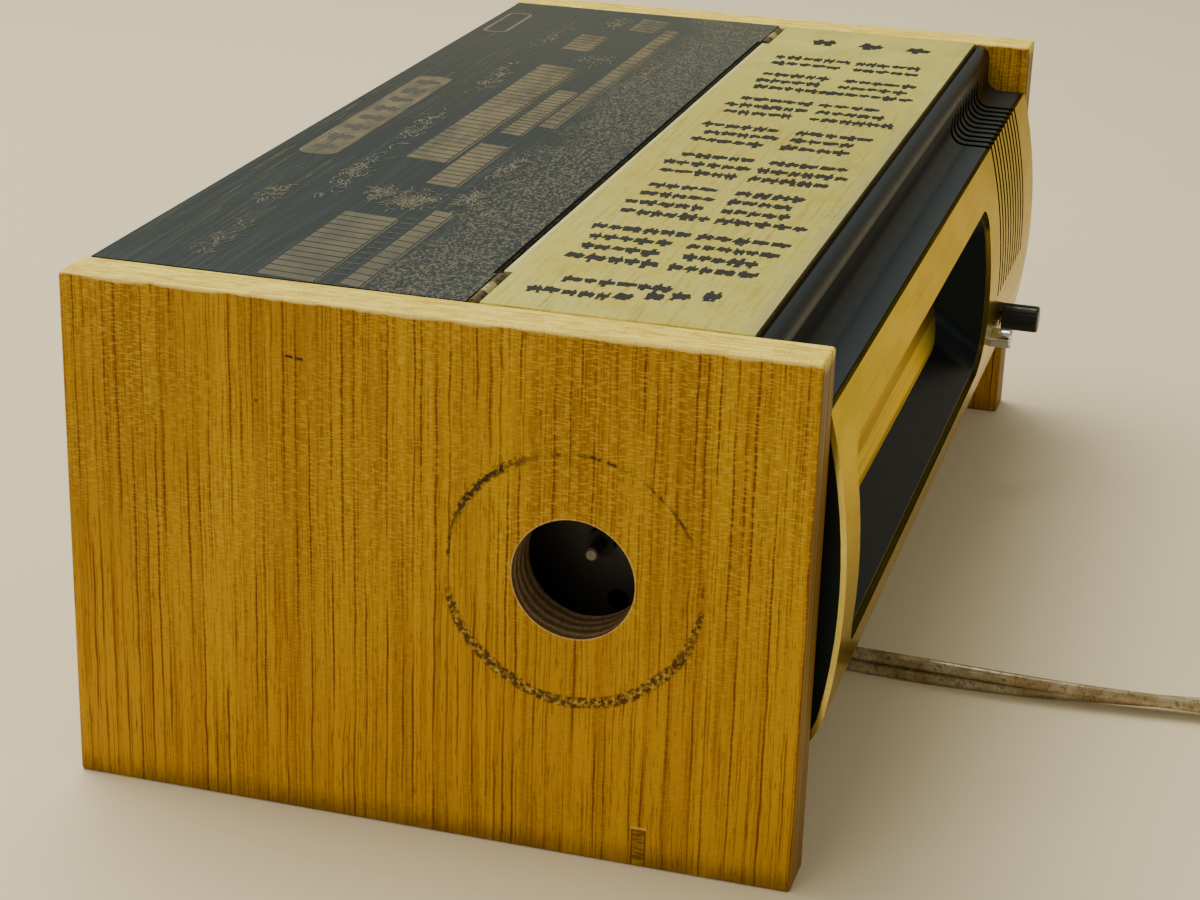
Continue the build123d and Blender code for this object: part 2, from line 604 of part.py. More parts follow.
def tuning_spindle():
    """The shaft whose tip shows in the hole, with the pulley that pulls the dial cord."""
    shaft = rod_x(SPINDLE_TIP_X, SPINDLE_END_X, TUNE_DEPTH, TUNE_Z, SPINDLE_R)
    tip = shaft.edges().group_by(Axis.X)[0]
    shaft = chamfer(tip, 0.4)
    wheel = Pos(SPINDLE_X, back(TUNE_DEPTH), TUNE_Z) * Rot(0, 90, 0)
    groove = Cylinder(PULLEY_R + 2, 1.2) - Cylinder(PULLEY_R - DIAL_CORD_R - GAP, 1.2)
    return shaft + wheel * (Cylinder(PULLEY_R + 1.0, 4.0) - groove)


def reduction_drive():
    """Round housing of the slow-motion drive between the spindle and the tuning capacitor."""
    x0 = DRIVE_X
    drum = rod_x(x0, x0 + 10.0, TUNE_DEPTH, TUNE_Z, 9.0)
    drum = fillet(drum.edges().filter_by(GeomType.CIRCLE), 0.8)
    drum -= rod_x(x0 - 1, x0 + 4.0, TUNE_DEPTH, TUNE_Z, SPINDLE_R + FIT)
    return drum - rod_x(x0 + 6.0, x0 + 12, TUNE_DEPTH, TUNE_Z, ROTOR_R + FIT)


def capacitor_frame():
    """Frame, feet and fixed vanes of the tuning capacitor."""
    x0, x1 = CAPACITOR_X, CAPACITOR_X + CAPACITOR_LONG
    front, rear = CAPACITOR_FRONT, CAPACITOR_BACK
    frame = block(x0, x1, front, rear, 41.0, 41.0 + CHEEK)
    frame += block(x0, x1, rear - CHEEK, rear, FLOOR_Z, CAPACITOR_TOP)
    for x in (x0, x1 - CHEEK):
        cheek = block(x, x + CHEEK, front, rear, FLOOR_Z, CAPACITOR_TOP)
        frame += cheek - rod_x(x - 2, x + 4, TUNE_DEPTH, TUNE_Z, ROTOR_R + FIT)
    for i in range(VANES):
        x = x0 + 4.0 + i * VANE_PITCH
        frame += block(x, x + VANE, 50.6, rear - 1.0, 46.0, CAPACITOR_TOP - 1.0)
    return frame


def capacitor_rotor():
    """The turning shaft of the capacitor with its half-round vanes, at the pointer's rest."""
    half_disc = Rot(0, 90, 0) * Cylinder(13.5, VANE) & Pos(0, 13.0, 0) * Box(2, 28, 28)
    turned = Rot(54, 0, 0) * half_disc
    shaft_end = CAPACITOR_X + CAPACITOR_LONG + 1.5
    rotor = rod_x(CAPACITOR_X - 3.6, shaft_end, TUNE_DEPTH, TUNE_Z, ROTOR_R)
    for i in range(VANES):
        x = CAPACITOR_X + 5.9 + i * VANE_PITCH
        rotor += Pos(x, back(TUNE_DEPTH), TUNE_Z) * turned
    return rotor


# ---------------------------------------------------------------- electronics
def board_corners():
    """Where the circuit board's screws and pillars are."""
    return [(x, d) for x in (BOARD_X0 + 5, BOARD_X1 - 5) for d in (BOARD_D0 + 5, BOARD_D1 - 5)]


def circuit_board():
    """The printed board with its four fixing holes."""
    board = block(BOARD_X0, BOARD_X1, BOARD_D0, BOARD_D1, BOARD_Z, BOARD_TOP)
    for x, depth in board_corners():
        board -= rod_z(x, depth, 30, 50, 1.6)
    return board


def board_pillars():
    """Pillars between the bottom board and the circuit board."""
    return [rod_z(x, d, FLOOR_Z, BOARD_Z, 3.2) - rod_z(x, d, 33, 60, 1.4) for x, d in board_corners()]


def coil_cans():
    """The square screening cans of the tuned circuits, each with its core's hole."""
    cans = []
    for i in range(4):
        x = -114.0 + i * 19.0
        can = block(x - 5, x + 5, 118.0, 128.0, BOARD_TOP, BOARD_TOP + 13.0)
        can = fillet(can.edges().filter_by(Axis.Z), 0.8)
        cans.append(can - rod_z(x, 123.0, BOARD_TOP + 11.0, BOARD_TOP + 20, 2.0))
    return cans


def transistors():
    """Small round-backed transistors in a row."""
    bodies = []
    for i in range(5):
        x = -116.0 + i * 16.0
        body = rod_z(x, 110.0, BOARD_TOP + 2.0, BOARD_TOP + 7.0, 2.4)
        body &= block(x - 3, x + 3, 107.0, 111.2, 30, 60)
        for leg in (-1.2, 0.0, 1.2):
            body += rod_z(x + leg, 110.0, BOARD_TOP, BOARD_TOP + 2.4, 0.3)
        bodies.append(body)
    return bodies


def electrolytics():
    """Upright round capacitors of three sizes."""
    cans = []
    sizes = ((-34, 104, 6, 22), (-34, 120, 5, 16), (-34, 134, 4, 12), (-52, 135, 4, 12))
    for x, depth, r, tall in sizes:
        can = rod_z(x, depth, BOARD_TOP, BOARD_TOP + tall, r)
        cans.append(fillet(can.edges().filter_by(GeomType.CIRCLE), 0.6))
    return cans


def resistors():
    """Small resistors lying across the board, leads bent down."""
    pieces = []
    for i in range(8):
        x = -115.0 + i * 9.0
        body = rod_y(x, 96.5, 102.5, BOARD_TOP + 1.8, 1.1)
        body += rod_y(x, 95.0, 104.0, BOARD_TOP + 1.8, 0.3)
        for d in (95.0, 104.0):
            body += block(x - 0.4, x + 0.4, d - 0.4, d + 0.4, BOARD_TOP, BOARD_TOP + 2.3)
        pieces.append(body)
    return pieces


def ferrite_rod():
    """Aerial rod."""
    rod = rod_x(-124.0, -14.0, ROD_DEPTH, ROD_Z, ROD_R)
    return fillet(rod.edges().filter_by(GeomType.CIRCLE), 0.7)


def ferrite_coil():
    """Aerial winding on a paper sleeve."""
    coil = rod_x(-112.0, -76.0, ROD_DEPTH, ROD_Z, 5.6)
    return coil - rod_x(-130.0, -60.0, ROD_DEPTH, ROD_Z, ROD_R + 0.02)


def ferrite_brackets():
    """The plastic posts that hold the aerial rod."""
    posts = []
    for x in (-120.0, -24.0):
        post = block(x - 2.0, x + 2.0, 143.6, BOARD_D1, BOARD_TOP, ROD_Z + 6.0)
        post += block(x - 2.0, x + 2.0, ROD_DEPTH - 6.4, BOARD_D1, ROD_Z - 6.4, ROD_Z + 6.4)
        posts.append(post - rod_x(x - 5, x + 5, ROD_DEPTH, ROD_Z, ROD_R + 0.02))
    return posts


def transformer_screw_places():
    """Where the mains transformer is screwed down."""
    return [(TRANSFORMER_X + side * 24.0, TRANSFORMER_DEPTH) for side in (-1, 1)]


def transformer_core():
    """Laminated iron core of the mains transformer, with its clamp feet."""
    x, d, z = TRANSFORMER_X, TRANSFORMER_DEPTH, FLOOR_Z
    core = block(x - 20, x + 20, d - 8, d + 8, z + 1.2, z + 35.2)
    for side in (-1, 1):
        core -= block(x + side * 10 - 4, x + side * 10 + 4, d - 9, d + 9, z + 8, z + 28.4)
    foot = block(x - 28, x + 28, d - 7, d + 7, z, z + 1.2)
    for hole_x, hole_d in transformer_screw_places():
        foot -= rod_z(hole_x, hole_d, 20, 50, 1.6)
    return core + foot


def transformer_bobbin():
    """The windings on the core's middle limb."""
    x, d, z = TRANSFORMER_X, TRANSFORMER_DEPTH, FLOOR_Z
    outer = block(x - 13.8, x + 13.8, d - 14, d + 14, z + 8.2, z + 28.2)
    outer = fillet(outer.edges().filter_by(Axis.Z), 3.0)
    limbs = block(x - 6.05, x + 6.05, d - 8.05, d + 8.05, z, z + 40)
    sides = block(x + 13.9, x + 30, d - 9, d + 9, z, z + 40)
    return outer - limbs - sides


# ---------------------------------------------------------------- speaker
def speaker_basket():
    """Pressed steel frame of the speaker, face down on the bottom board."""
    x, d, z = SPEAKER_X, SPEAKER_DEPTH, FLOOR_Z
    rim = rod_z(x, d, z, z + 2.0, SPEAKER_R) - rod_z(x, d, z - 1, z + 5, SPEAKER_R - 9.2)
    cone = Pos(x, back(d), z + 8.4) * Cone(SPEAKER_R - 4.4, 15.0, 14.0)
    bore = Pos(x, back(d), z + 8.2) * Cone(SPEAKER_R - 5.6, 13.8, 14.0)
    basket = rim + (cone - bore)
    for i in range(4):
        turn = Rot(0, 0, 45 + 90 * i)
        opening = Pos(x, back(d), z + 8.5) * turn * Pos(26, 0, 0) * Box(30, 16, 9)
        basket -= opening
    basket += rod_z(x, d, z + 14.2, z + 15.4, 15.5) - rod_z(x, d, z, z + 20, 7.0)
    for hole_x, hole_d in speaker_screw_places():
        basket += rod_z(hole_x, hole_d, z, z + 2.0, 4.0)
        basket -= rod_z(hole_x, hole_d, z - 1, z + 5, 1.6)
    return basket


def speaker_screw_places():
    """Where the speaker is screwed down."""
    r = SPEAKER_R + 0.5
    turns = [math.radians(45 + 90 * i) for i in range(4)]
    return [(SPEAKER_X + r * math.cos(t), SPEAKER_DEPTH + r * math.sin(t)) for t in turns]


def speaker_cone():
    """Paper cone with its half-round surround and dust cap."""
    z = FLOOR_Z
    rim = [(SPEAKER_R - 8.2, 2.0), (SPEAKER_R - 12.5, 3.2)]
    profile = rim + [(7.5, 12.6), (6.0, 12.6), (0.0, 14.0)]
    lower = Polyline(*[(r, z + h) for r, h in profile])
    upper = Polyline(*[(r, z + h + 0.9) for r, h in profile])
    section = make_face([lower, upper, Line(lower @ 0, upper @ 0), Line(lower @ 1, upper @ 1)])
    paper = revolve(Plane.XZ * section, axis=Axis.Z)
    return Pos(SPEAKER_X, back(SPEAKER_DEPTH), 0) * paper


def speaker_magnet():
    """Ring magnet between its two steel plates, above the basket."""
    z = UNDERSIDE + 19.4
    magnet = rod_z(SPEAKER_X, SPEAKER_DEPTH, z, z + 2.5, 15.0)
    magnet += rod_z(SPEAKER_X, SPEAKER_DEPTH, z + 2.5, z + 10.0, 16.5)
    return magnet + rod_z(SPEAKER_X, SPEAKER_DEPTH, z + 10.0, z + 12.5, 15.0)


# ---------------------------------------------------------------- controls
def volume_body():
    """Round case of the volume control with its threaded bush through the moulding."""
    case = rod_y(KNOB_X, POT_DEPTH, 12.0, KNOB_Z, 8.2)
    case = fillet(case.edges().filter_by(GeomType.CIRCLE), 0.6)
    bush = rod_y(KNOB_X, -3.2, 5.0, KNOB_Z, BUSH_R)
    return case + bush - rod_y(KNOB_X, -9, 8.0, KNOB_Z, SPINDLE_R + FIT)


def volume_shaft():
    """Shaft that the knob is pushed on."""
    return rod_y(KNOB_X, -12.0, 7.4, KNOB_Z, SPINDLE_R)


def volume_knob():
    """Slim black knob with fine flutes round its side and a domed end."""
    tip = -4.7 - KNOB_LONG
    knob = rod_y(KNOB_X, tip, -4.7, KNOB_Z, KNOB_R)
    knob = fillet(knob.edges().group_by(Axis.Y)[0], 0.7)
    for i in range(20):
        turn = 2 * math.pi * i / 20
        x = KNOB_X + (KNOB_R + 0.12) * math.cos(turn)
        z = KNOB_Z + (KNOB_R + 0.12) * math.sin(turn)
        knob -= rod_y(x, tip - 1, -6.4, z, 0.3)
    return knob - rod_y(KNOB_X, -12.1, 0, KNOB_Z, SPINDLE_R)


def push_button():
    """Chromed push button with a softly domed end."""
    tip = -4.4 - BUTTON_LONG
    cap = rod_y(BUTTON_X, tip, 2.2, BUTTON_Z, BUTTON_R)
    cap = fillet(cap.edges().group_by(Axis.Y)[0], 0.8)
    return cap + rod_y(BUTTON_X, 2.2, 6.2, BUTTON_Z, 1.2)


def switch_body():
    """Case of the push switch behind the moulding."""
    x, z = BUTTON_X, BUTTON_Z
    case = block(x - 5.5, x + 5.5, SWITCH_DEPTH, 16.5, z - 5.0, z + 5.0)
    return case - rod_y(x, 2.0, 6.5 + BUTTON_TRAVEL, z, 1.2 + FIT)


# ---------------------------------------------------------------- mains lead
def gland_frame():
    """Place and lean of the sleeve that the lead comes out of; its Z axis points into the radio."""
    return Pos(GLAND_X, back(GLAND_DEPTH), (UNDERSIDE + FLOOR_Z) / 2) * Rot(-GLAND_LEAN, 0, 0)


def strain_relief():
    """Rubber sleeve in the bottom board, held by a collar inside and tapered towards its tip."""
    neck = Pos(0, 0, 3.5) * Cylinder(5.2, 13.0)
    collar = Pos(0, 0, 10.5) * Cylinder(6.6, 2.0)
    taper_long = SLEEVE_LONG - 3.0
    taper = Pos(0, 0, -3.0 - taper_long / 2) * Cone(3.8, 5.2, taper_long)
    return gland_frame() * (neck + collar + taper)


def lead_route():
    """Points of the lead from the sleeve's tip, down to the table and along it to the coil."""
    z = CORD_R
    tip = (gland_frame() * Pos(0, 0, -SLEEVE_LONG)).position
    bend = (gland_frame() * Pos(0, 0, -SLEEVE_LONG - 11.0)).position
    return [
        (tip.X, tip.Y, tip.Z),
        (bend.X, bend.Y, bend.Z),
        (-51.6, back(48.6), z),
        (-49.0, back(22.0), z),
        (-51.2, back(-13.0), z),
        (-50.4, back(-48.0), z),
        (-43.6, back(-85.0), z),
        (COIL_X - COIL_MEAN_R, COIL_Y + 1.0, z),
    ]


def lead():
    """The lead from the strain relief, along the table, to the coil."""
    points = lead_route()
    radii = []
    for before, here, after in zip(points, points[1:], points[2:]):
        one = Vector(*here) - Vector(*before)
        two = Vector(*after) - Vector(*here)
        half_turn = math.radians(one.get_angle(two)) / 2
        radii.append(0.45 * min(one.length, two.length) / math.tan(half_turn))
    path = FilletPolyline(*points, radius=radii)
    solid = sweep(Plane(origin=path @ 0, z_dir=path % 0) * Circle(CORD_R), path=path)
    full = path.length * math.pi * CORD_R ** 2
    print("lead: radii", [round(r, 1) for r in radii], "length", round(path.length, 1))
    print("lead: volume against section times length", round(solid.volume / full, 4))
    return solid


def lead_coil():
    """The put-away turns of the lead, as one ring of their outer shape."""
    section = Pos(COIL_MEAN_R, COIL_TALL / 2) * RectangleRounded(COIL_WIDE, COIL_TALL, 3.0)
    return Pos(COIL_X, COIL_Y, 0) * revolve(Plane.XZ * section, axis=Axis.Z)


def lead_tie():
    """A soft band over the turns."""
    band = Box(6.0, COIL_WIDE + 2.0, COIL_TALL + 1.0)
    band = fillet(band.edges().filter_by(Axis.X).group_by(Axis.Z)[-1], 3.0)
    return Pos(COIL_X, COIL_Y - COIL_MEAN_R, (COIL_TALL + 1.0) / 2) * band - lead_coil()


def tail_frame(along):
    """Place and heading of the lead where it leaves the coil; its X axis runs along the lead."""
    r = COIL_MEAN_R + COIL_WIDE / 2 - CORD_R
    turn = math.radians(TAIL_ANGLE)
    start = Pos(COIL_X + r * math.cos(turn), COIL_Y + r * math.sin(turn), COIL_TALL / 2)
    return start * Rot(0, 0, TAIL_ANGLE + 90) * Pos(along, 0, 0)


def lead_tail():
    """The short end of the lead, from the coil to the plug."""
    bar = Rot(0, 90, 0) * Cylinder(CORD_R, PLUG_START - TAIL_HIDDEN)
    return tail_frame((PLUG_START + TAIL_HIDDEN) / 2) * bar


def plug_body():
    """Flat two-blade plug beside the coil, with its tapered neck."""
    grip = Pos(24.0, 0, 0) * Box(24.0, 21.0, COIL_TALL)
    grip = fillet(grip.edges().filter_by(Axis.Z), 4.0)
    grip = fillet(grip.edges().group_by(Axis.Z)[-1], 2.0)
    neck = Pos(6.0, 0, 0) * Rot(0, 90, 0) * Cone(4.0, 5.4, 12.0)
    return tail_frame(PLUG_START) * (grip + neck)


def plug_blades():
    """The two flat blades, each with its small hole."""
    blades = []
    for side in (-1, 1):
        hole = Pos(5.0, 0, 0) * Rot(90, 0, 0) * Cylinder(1.5, 5)
        blade = Box(17.0, 1.5, 6.3) - hole
        blades.append(tail_frame(PLUG_START) * Pos(44.5, side * 6.35, 0) * blade)
    return blades


# ---------------------------------------------------------------- loose fasteners
def case_screws():
    """The screws that hold the bottom board and the back cover."""
    screws = [screw_up(x, d, UNDERSIDE, 9.0) for x, d in bottom_screw_places()]
    for side in (-1, 1):
        for z in BACK_SCREW_HEIGHTS:
            screws.append(screw_forward(side * BATTEN_X, BACK_DEPTH + 3.0, z, 9.0))
    return screws


def inside_screws():
    """The screws of the circuit board, the speaker and the transformer."""
    places = [(x, d, BOARD_TOP) for x, d in board_corners()]
    places += [(x, d, FLOOR_Z + 2.0) for x, d in speaker_screw_places()]
    places += [(x, d, FLOOR_Z + 1.2) for x, d in transformer_screw_places()]
    return [screw_down(x, d, z, 4.6, r_shank=1.4, head=1.6) for x, d, z in places]


# ---------------------------------------------------------------- write every node
def nodes():
    """Every node's name and shape."""
    return {
        "left_end_panel": left_end_panel(),
        "right_end_panel": end_board(1),
        "front_moulding": front_moulding(),
        "face_plate": face_plate(),
        "bottom_board": bottom_board(),
        "glued_battens": Compound(battens()),
        "back_cover": back_cover(),
        "rear_top_board": rear_top_board(),
        "rear_top_plate": rear_top_plate(),
        "lid_plate": lid_plate(),
        "lid_board": lid_board(),
        "hinge_body_leaves": Compound([leaf(start, False) for start in hinge_left_ends()]),
        "hinge_lid_leaves": Compound([leaf(start, True) for start in hinge_left_ends()]),
        "hinge_pins": Compound(hinge_pins()),
        "hinge_body_screws": Compound(hinge_screws(False)),
        "hinge_lid_screws": Compound(hinge_screws(True)),
        "tray": tray(),
        "dial_glass": dial_glass(),
        "dial_scale": dial_scale(),
        "dial_pointer": dial_pointer(),
        "pointer_rail": pointer_rail(),
        "dial_chassis": dial_chassis(),
        "corner_pulley_upper": corner_pulley(TUNE_Z + PULLEY_R),
        "corner_pulley_lower": corner_pulley(TUNE_Z - PULLEY_R),
        "corner_pulley_pin": corner_pin(),
        "end_pulley": end_pulley(),
        "dial_cord": Compound(dial_cord()),
        "tuning_bracket": tuning_bracket(),
        "spindle_bush": spindle_bush(),
        "tuning_spindle": tuning_spindle(),
        "reduction_drive": reduction_drive(),
        "capacitor_frame": capacitor_frame(),
        "capacitor_rotor": capacitor_rotor(),
        "circuit_board": circuit_board(),
        "board_pillars": Compound(board_pillars()),
        "coil_cans": Compound(coil_cans()),
        "transistors": Compound(transistors()),
        "electrolytic_capacitors": Compound(electrolytics()),
        "resistors": Compound(resistors()),
        "ferrite_rod": ferrite_rod(),
        "ferrite_coil": ferrite_coil(),
        "ferrite_brackets": Compound(ferrite_brackets()),
        "transformer_core": transformer_core(),
        "transformer_bobbin": transformer_bobbin(),
        "speaker_basket": speaker_basket(),
        "speaker_cone": speaker_cone(),
        "speaker_magnet": speaker_magnet(),
        "inside_screws": Compound(inside_screws()),
        "case_screws": Compound(case_screws()),
        "volume_control": volume_body(),
        "volume_shaft": volume_shaft(),
        "volume_knob": volume_knob(),
        "push_button": push_button(),
        "switch_body": switch_body(),
        "strain_relief": strain_relief(),
        "mains_lead": Compound([lead(), lead_tail()]),
        "lead_coil": lead_coil(),
        "lead_tie": lead_tie(),
        "plug_body": plug_body(),
        "plug_blades": Compound(plug_blades()),
    }


os.makedirs("parts", exist_ok=True)
for name, shape in nodes().items():
    export_step(shape, f"parts/{name}.step")
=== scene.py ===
"""Looks of the tabletop radio: wooden end boards, etched plates, bright bulging face and its lead.

Everything is in metres in the CAD frame, unless a comment says millimetres. X runs from the end
with the tuning hole to the end with the controls, Y from front to back and Z up. Depths are in
millimetres behind the front edges of the end boards, and back(depth) turns one into a Y value.
"""

import math
import random

import bpy
from mathutils import Matrix, Vector


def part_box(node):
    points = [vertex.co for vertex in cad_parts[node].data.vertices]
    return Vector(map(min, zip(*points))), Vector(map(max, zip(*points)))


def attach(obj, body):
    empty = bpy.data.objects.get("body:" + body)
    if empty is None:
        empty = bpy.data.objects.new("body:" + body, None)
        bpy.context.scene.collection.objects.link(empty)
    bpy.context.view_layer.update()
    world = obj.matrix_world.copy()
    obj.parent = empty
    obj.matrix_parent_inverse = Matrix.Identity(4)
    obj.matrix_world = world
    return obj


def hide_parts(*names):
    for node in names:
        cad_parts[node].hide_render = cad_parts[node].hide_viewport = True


MM = 0.001
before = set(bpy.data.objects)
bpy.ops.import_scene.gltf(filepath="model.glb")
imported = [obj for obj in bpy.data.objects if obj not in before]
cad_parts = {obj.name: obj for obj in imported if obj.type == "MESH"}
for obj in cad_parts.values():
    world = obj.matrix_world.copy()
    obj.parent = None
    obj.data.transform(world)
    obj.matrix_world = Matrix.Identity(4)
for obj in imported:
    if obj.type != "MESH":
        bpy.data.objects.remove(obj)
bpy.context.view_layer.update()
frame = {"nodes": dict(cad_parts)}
nodes = frame["nodes"]

BOARD_LOW, BOARD_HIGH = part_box("left_end_panel")
FRONT_Y, TOP_Z = BOARD_LOW.y, BOARD_HIGH.z
HOLE_Y, HOLE_Z = FRONT_Y + 48.3 * MM, 63.0 * MM  # hole for the tuning spindle
HOLE_R = 13.0 * MM
RUB_R = 27.0 * MM  # mark that the missing knob wore


def back(depth):
    """Y of a place that lies depth millimetres behind the front edges of the end boards."""
    return FRONT_Y + depth * MM


# ---- camera, floor and light
CAMERA_PLACE = (-0.6076, -0.1543, 0.2731)
CAMERA_LOOK = (0.89812, 0.24997, -0.36180)
CAMERA_ROLL = 1.885  # degrees
CAMERA_LENS = 76.5  # focal length and sensor width in millimetres
SENSOR_WIDTH = 36.0
LIT_PLACE = (0, 0, 0.05)
AREA_LIGHTS = (  # name, place, size, power in watts and colour
    ("over", (0.30, 0.55, 1.35), (1.3, 1.0), 27.0, (1.0, 0.93, 0.78)),
    ("left", (-1.2, 0.5, 0.7), (0.9, 0.9), 4.6, (1.0, 0.92, 0.76)),
    ("front", (-0.5, -1.2, 0.7), (0.9, 0.6), 2.2, (1.0, 0.96, 0.88)),
)
ROOM_COLOUR = (0.92, 0.85, 0.66, 1)
ROOM_POWER = 0.36
FLOOR_HALF = 4.0


def make_camera():
    """A camera at the near left corner, looking down along the radio."""
    forward = Vector(CAMERA_LOOK).normalized()
    level_right = forward.cross(Vector((0, 0, 1))).normalized()
    level_up = level_right.cross(forward)
    roll = math.radians(CAMERA_ROLL)
    right = level_right * math.cos(roll) + level_up * math.sin(roll)
    up = right.cross(forward)
    data = bpy.data.cameras.new("camera")
    data.lens = CAMERA_LENS
    data.sensor_width = SENSOR_WIDTH
    data.clip_start, data.clip_end = 0.01, 20.0
    camera = bpy.data.objects.new("camera", data)
    turn = Matrix((right, up, -forward)).transposed()
    camera.matrix_world = Matrix.Translation(CAMERA_PLACE) @ turn.to_4x4()
    bpy.context.scene.collection.objects.link(camera)
    bpy.context.scene.camera = camera


def add_area(name, place, size, power, colour):
    """One rectangular soft light at place, turned to the radio."""
    data = bpy.data.lights.new(name, "AREA")
    data.shape = "RECTANGLE"
    data.size, data.size_y = size
    data.energy = power
    data.color = colour
    light = bpy.data.objects.new(name, data)
    light.location = place
    light.rotation_mode = "QUATERNION"
    light.rotation_quaternion = (Vector(LIT_PLACE) - Vector(place)).to_track_quat("-Z", "Y")
    bpy.context.scene.collection.objects.link(light)


def make_light():
    """Broad light from above and behind, softer ones from the near side, and pale surroundings."""
    for area in AREA_LIGHTS:
        add_area(*area)
    world = bpy.data.worlds.new("surroundings")
    world.use_nodes = True
    background = world.node_tree.nodes["Background"]
    background.inputs["Color"].default_value = ROOM_COLOUR
    background.inputs["Strength"].default_value = ROOM_POWER
    bpy.context.scene.world = world


def make_floor():
    """A plain pale floor."""
    mesh = bpy.data.meshes.new("floor")
    corners = [(x * FLOOR_HALF, y * FLOOR_HALF, 0) for x, y in ((-1, -1), (1, -1), (1, 1), (-1, 1))]
    mesh.from_pydata(corners, [], [(0, 1, 2, 3)])
    s = Shader("floor", (0.86, 0.78, 0.56), 0.5, Specular_IOR_Level=0.2)
    tone = s.noise((3, 3, 3))
    s.set("Base Color", s.mix(tone, (0.88, 0.80, 0.58), (0.82, 0.74, 0.53)))
    mesh.materials.append(s.material)
    floor = bpy.data.objects.new("floor", mesh)
    bpy.context.scene.collection.objects.link(floor)


# ---- shader helpers
class Shader:
    """A Principled material that is put together node by node in the CAD frame."""

    def __init__(self, name, colour, roughness, metallic=0.0, **sockets):
        self.material = bpy.data.materials.new(name)
        self.material.use_nodes = True
        self.tree = self.material.node_tree
        self.surface = self.tree.nodes["Principled BSDF"]
        self.place = self.node("ShaderNodeTexCoord").outputs["Object"]
        self.set("Metallic", metallic)
        for socket, value in sockets.items():
            self.set(socket.replace("_", " "), value)
        self.set("Base Color", colour)
        self.set("Roughness", roughness)
        self.material.diffuse_color = colour + (1,)

    def node(self, kind, **attributes):
        """A new node of that kind with some of its settings."""
        made = self.tree.nodes.new(kind)
        for name, value in attributes.items():
            setattr(made, name, value)
        return made

    def put(self, socket, value):
        """A link, a colour or a number into one input."""
        if isinstance(value, bpy.types.NodeSocket):
            self.tree.links.new(value, socket)
        elif isinstance(value, tuple) and len(value) == 3 and len(socket.default_value) == 4:
            socket.default_value = value + (1,)
        else:
            socket.default_value = value

    def set(self, name, value):
        """A link, a colour or a number into one input of the surface."""
        self.put(self.surface.inputs[name], value)

    def noise(self, grains, detail=3.0, rough=0.55):
        """Soft noise from about 0.2 to 0.8, with that many grains per metre along X, Y and Z."""
        place = self.node("ShaderNodeVectorMath", operation="MULTIPLY")
        self.put(place.inputs[0], self.place)
        place.inputs[1].default_value = grains
        made = self.node("ShaderNodeTexNoise")
        self.put(made.inputs["Vector"], place.outputs[0])
        made.inputs["Scale"].default_value = 1.0
        made.inputs["Detail"].default_value = detail
        made.inputs["Roughness"].default_value = rough
        return made.outputs["Fac"]

    def cells(self, per_metre):
        """Distance to the nearest of many scattered points, that many along each metre."""
        made = self.node("ShaderNodeTexVoronoi")
        self.put(made.inputs["Vector"], self.place)
        made.inputs["Scale"].default_value = per_metre
        return made.outputs["Distance"]

    def math(self, operation, a, b=0.0, clamp=False):
        """One operation on two numbers, or on one."""
        made = self.node("ShaderNodeMath", operation=operation, use_clamp=clamp)
        self.put(made.inputs[0], a)
        self.put(made.inputs[1], b)
        return made.outputs[0]

    def plus(self, a, b):
        return self.math("ADD", a, b)

    def minus(self, a, b):
        return self.math("SUBTRACT", a, b)

    def times(self, a, b):
        return self.math("MULTIPLY", a, b)

    def ramp(self, value, low, high, to_low=0.0, to_high=1.0):
        """A smooth step from to_low at low to to_high at high."""
        made = self.node("ShaderNodeMapRange", interpolation_type="SMOOTHSTEP")
        self.put(made.inputs["Value"], value)
        ends = {"From Min": low, "From Max": high, "To Min": to_low, "To Max": to_high}
        for name, number in ends.items():
            made.inputs[name].default_value = number
        return made.outputs["Result"]

    def mix(self, share, a, b):
        """Colour a where share is 0 and colour b where it is 1."""
        made = self.node("ShaderNodeMix", data_type="RGBA")
        factor, first, second = (made.inputs[i] for i in (0, 6, 7))
        self.put(factor, share)
        self.put(first, a)
        self.put(second, b)
        return made.outputs[2]

    def axis(self, name):
        """One coordinate of the place."""
        made = self.node("ShaderNodeSeparateXYZ")
        self.put(made.inputs[0], self.place)
        return made.outputs[name]

    def facing(self, name):
        """How squarely the surface faces along one axis, from 0 to 1."""
        normal = self.node("ShaderNodeNewGeometry").outputs["Normal"]
        made = self.node("ShaderNodeSeparateXYZ")
        self.put(made.inputs[0], normal)
        return self.math("ABSOLUTE", made.outputs[name])

    def bump(self, height, distance, strength=1.0):
        """Fine relief, distance deep for a height of 1."""
        made = self.node("ShaderNodeBump")
        made.inputs["Strength"].default_value = strength
        made.inputs["Distance"].default_value = distance
        self.put(made.inputs["Height"], height)
        self.set("Normal", made.outputs["Normal"])


def dress(names, material):
    """Give CAD nodes, named in one string, a material."""
    for name in names.split():
        mesh = nodes[name].data
        mesh.materials.clear()
        mesh.materials.append(material)


# ---- wood
VEIN_PITCH, VEIN_HALF = 2.5 * MM, 0.31 * MM  # strong veins of the veneer
HAIR_PITCH, HAIR_HALF = 1.1 * MM, 0.21 * MM  # fine veins between them
CHIP_Y = back(32.5)  # sliver of veneer lost at the foot
DENT_Y, DENT_Z, DENT_SLOPE = back(108), 102.8 * MM, 0.12
DOT_Y, DOT_Z = back(116.5), 92.5 * MM


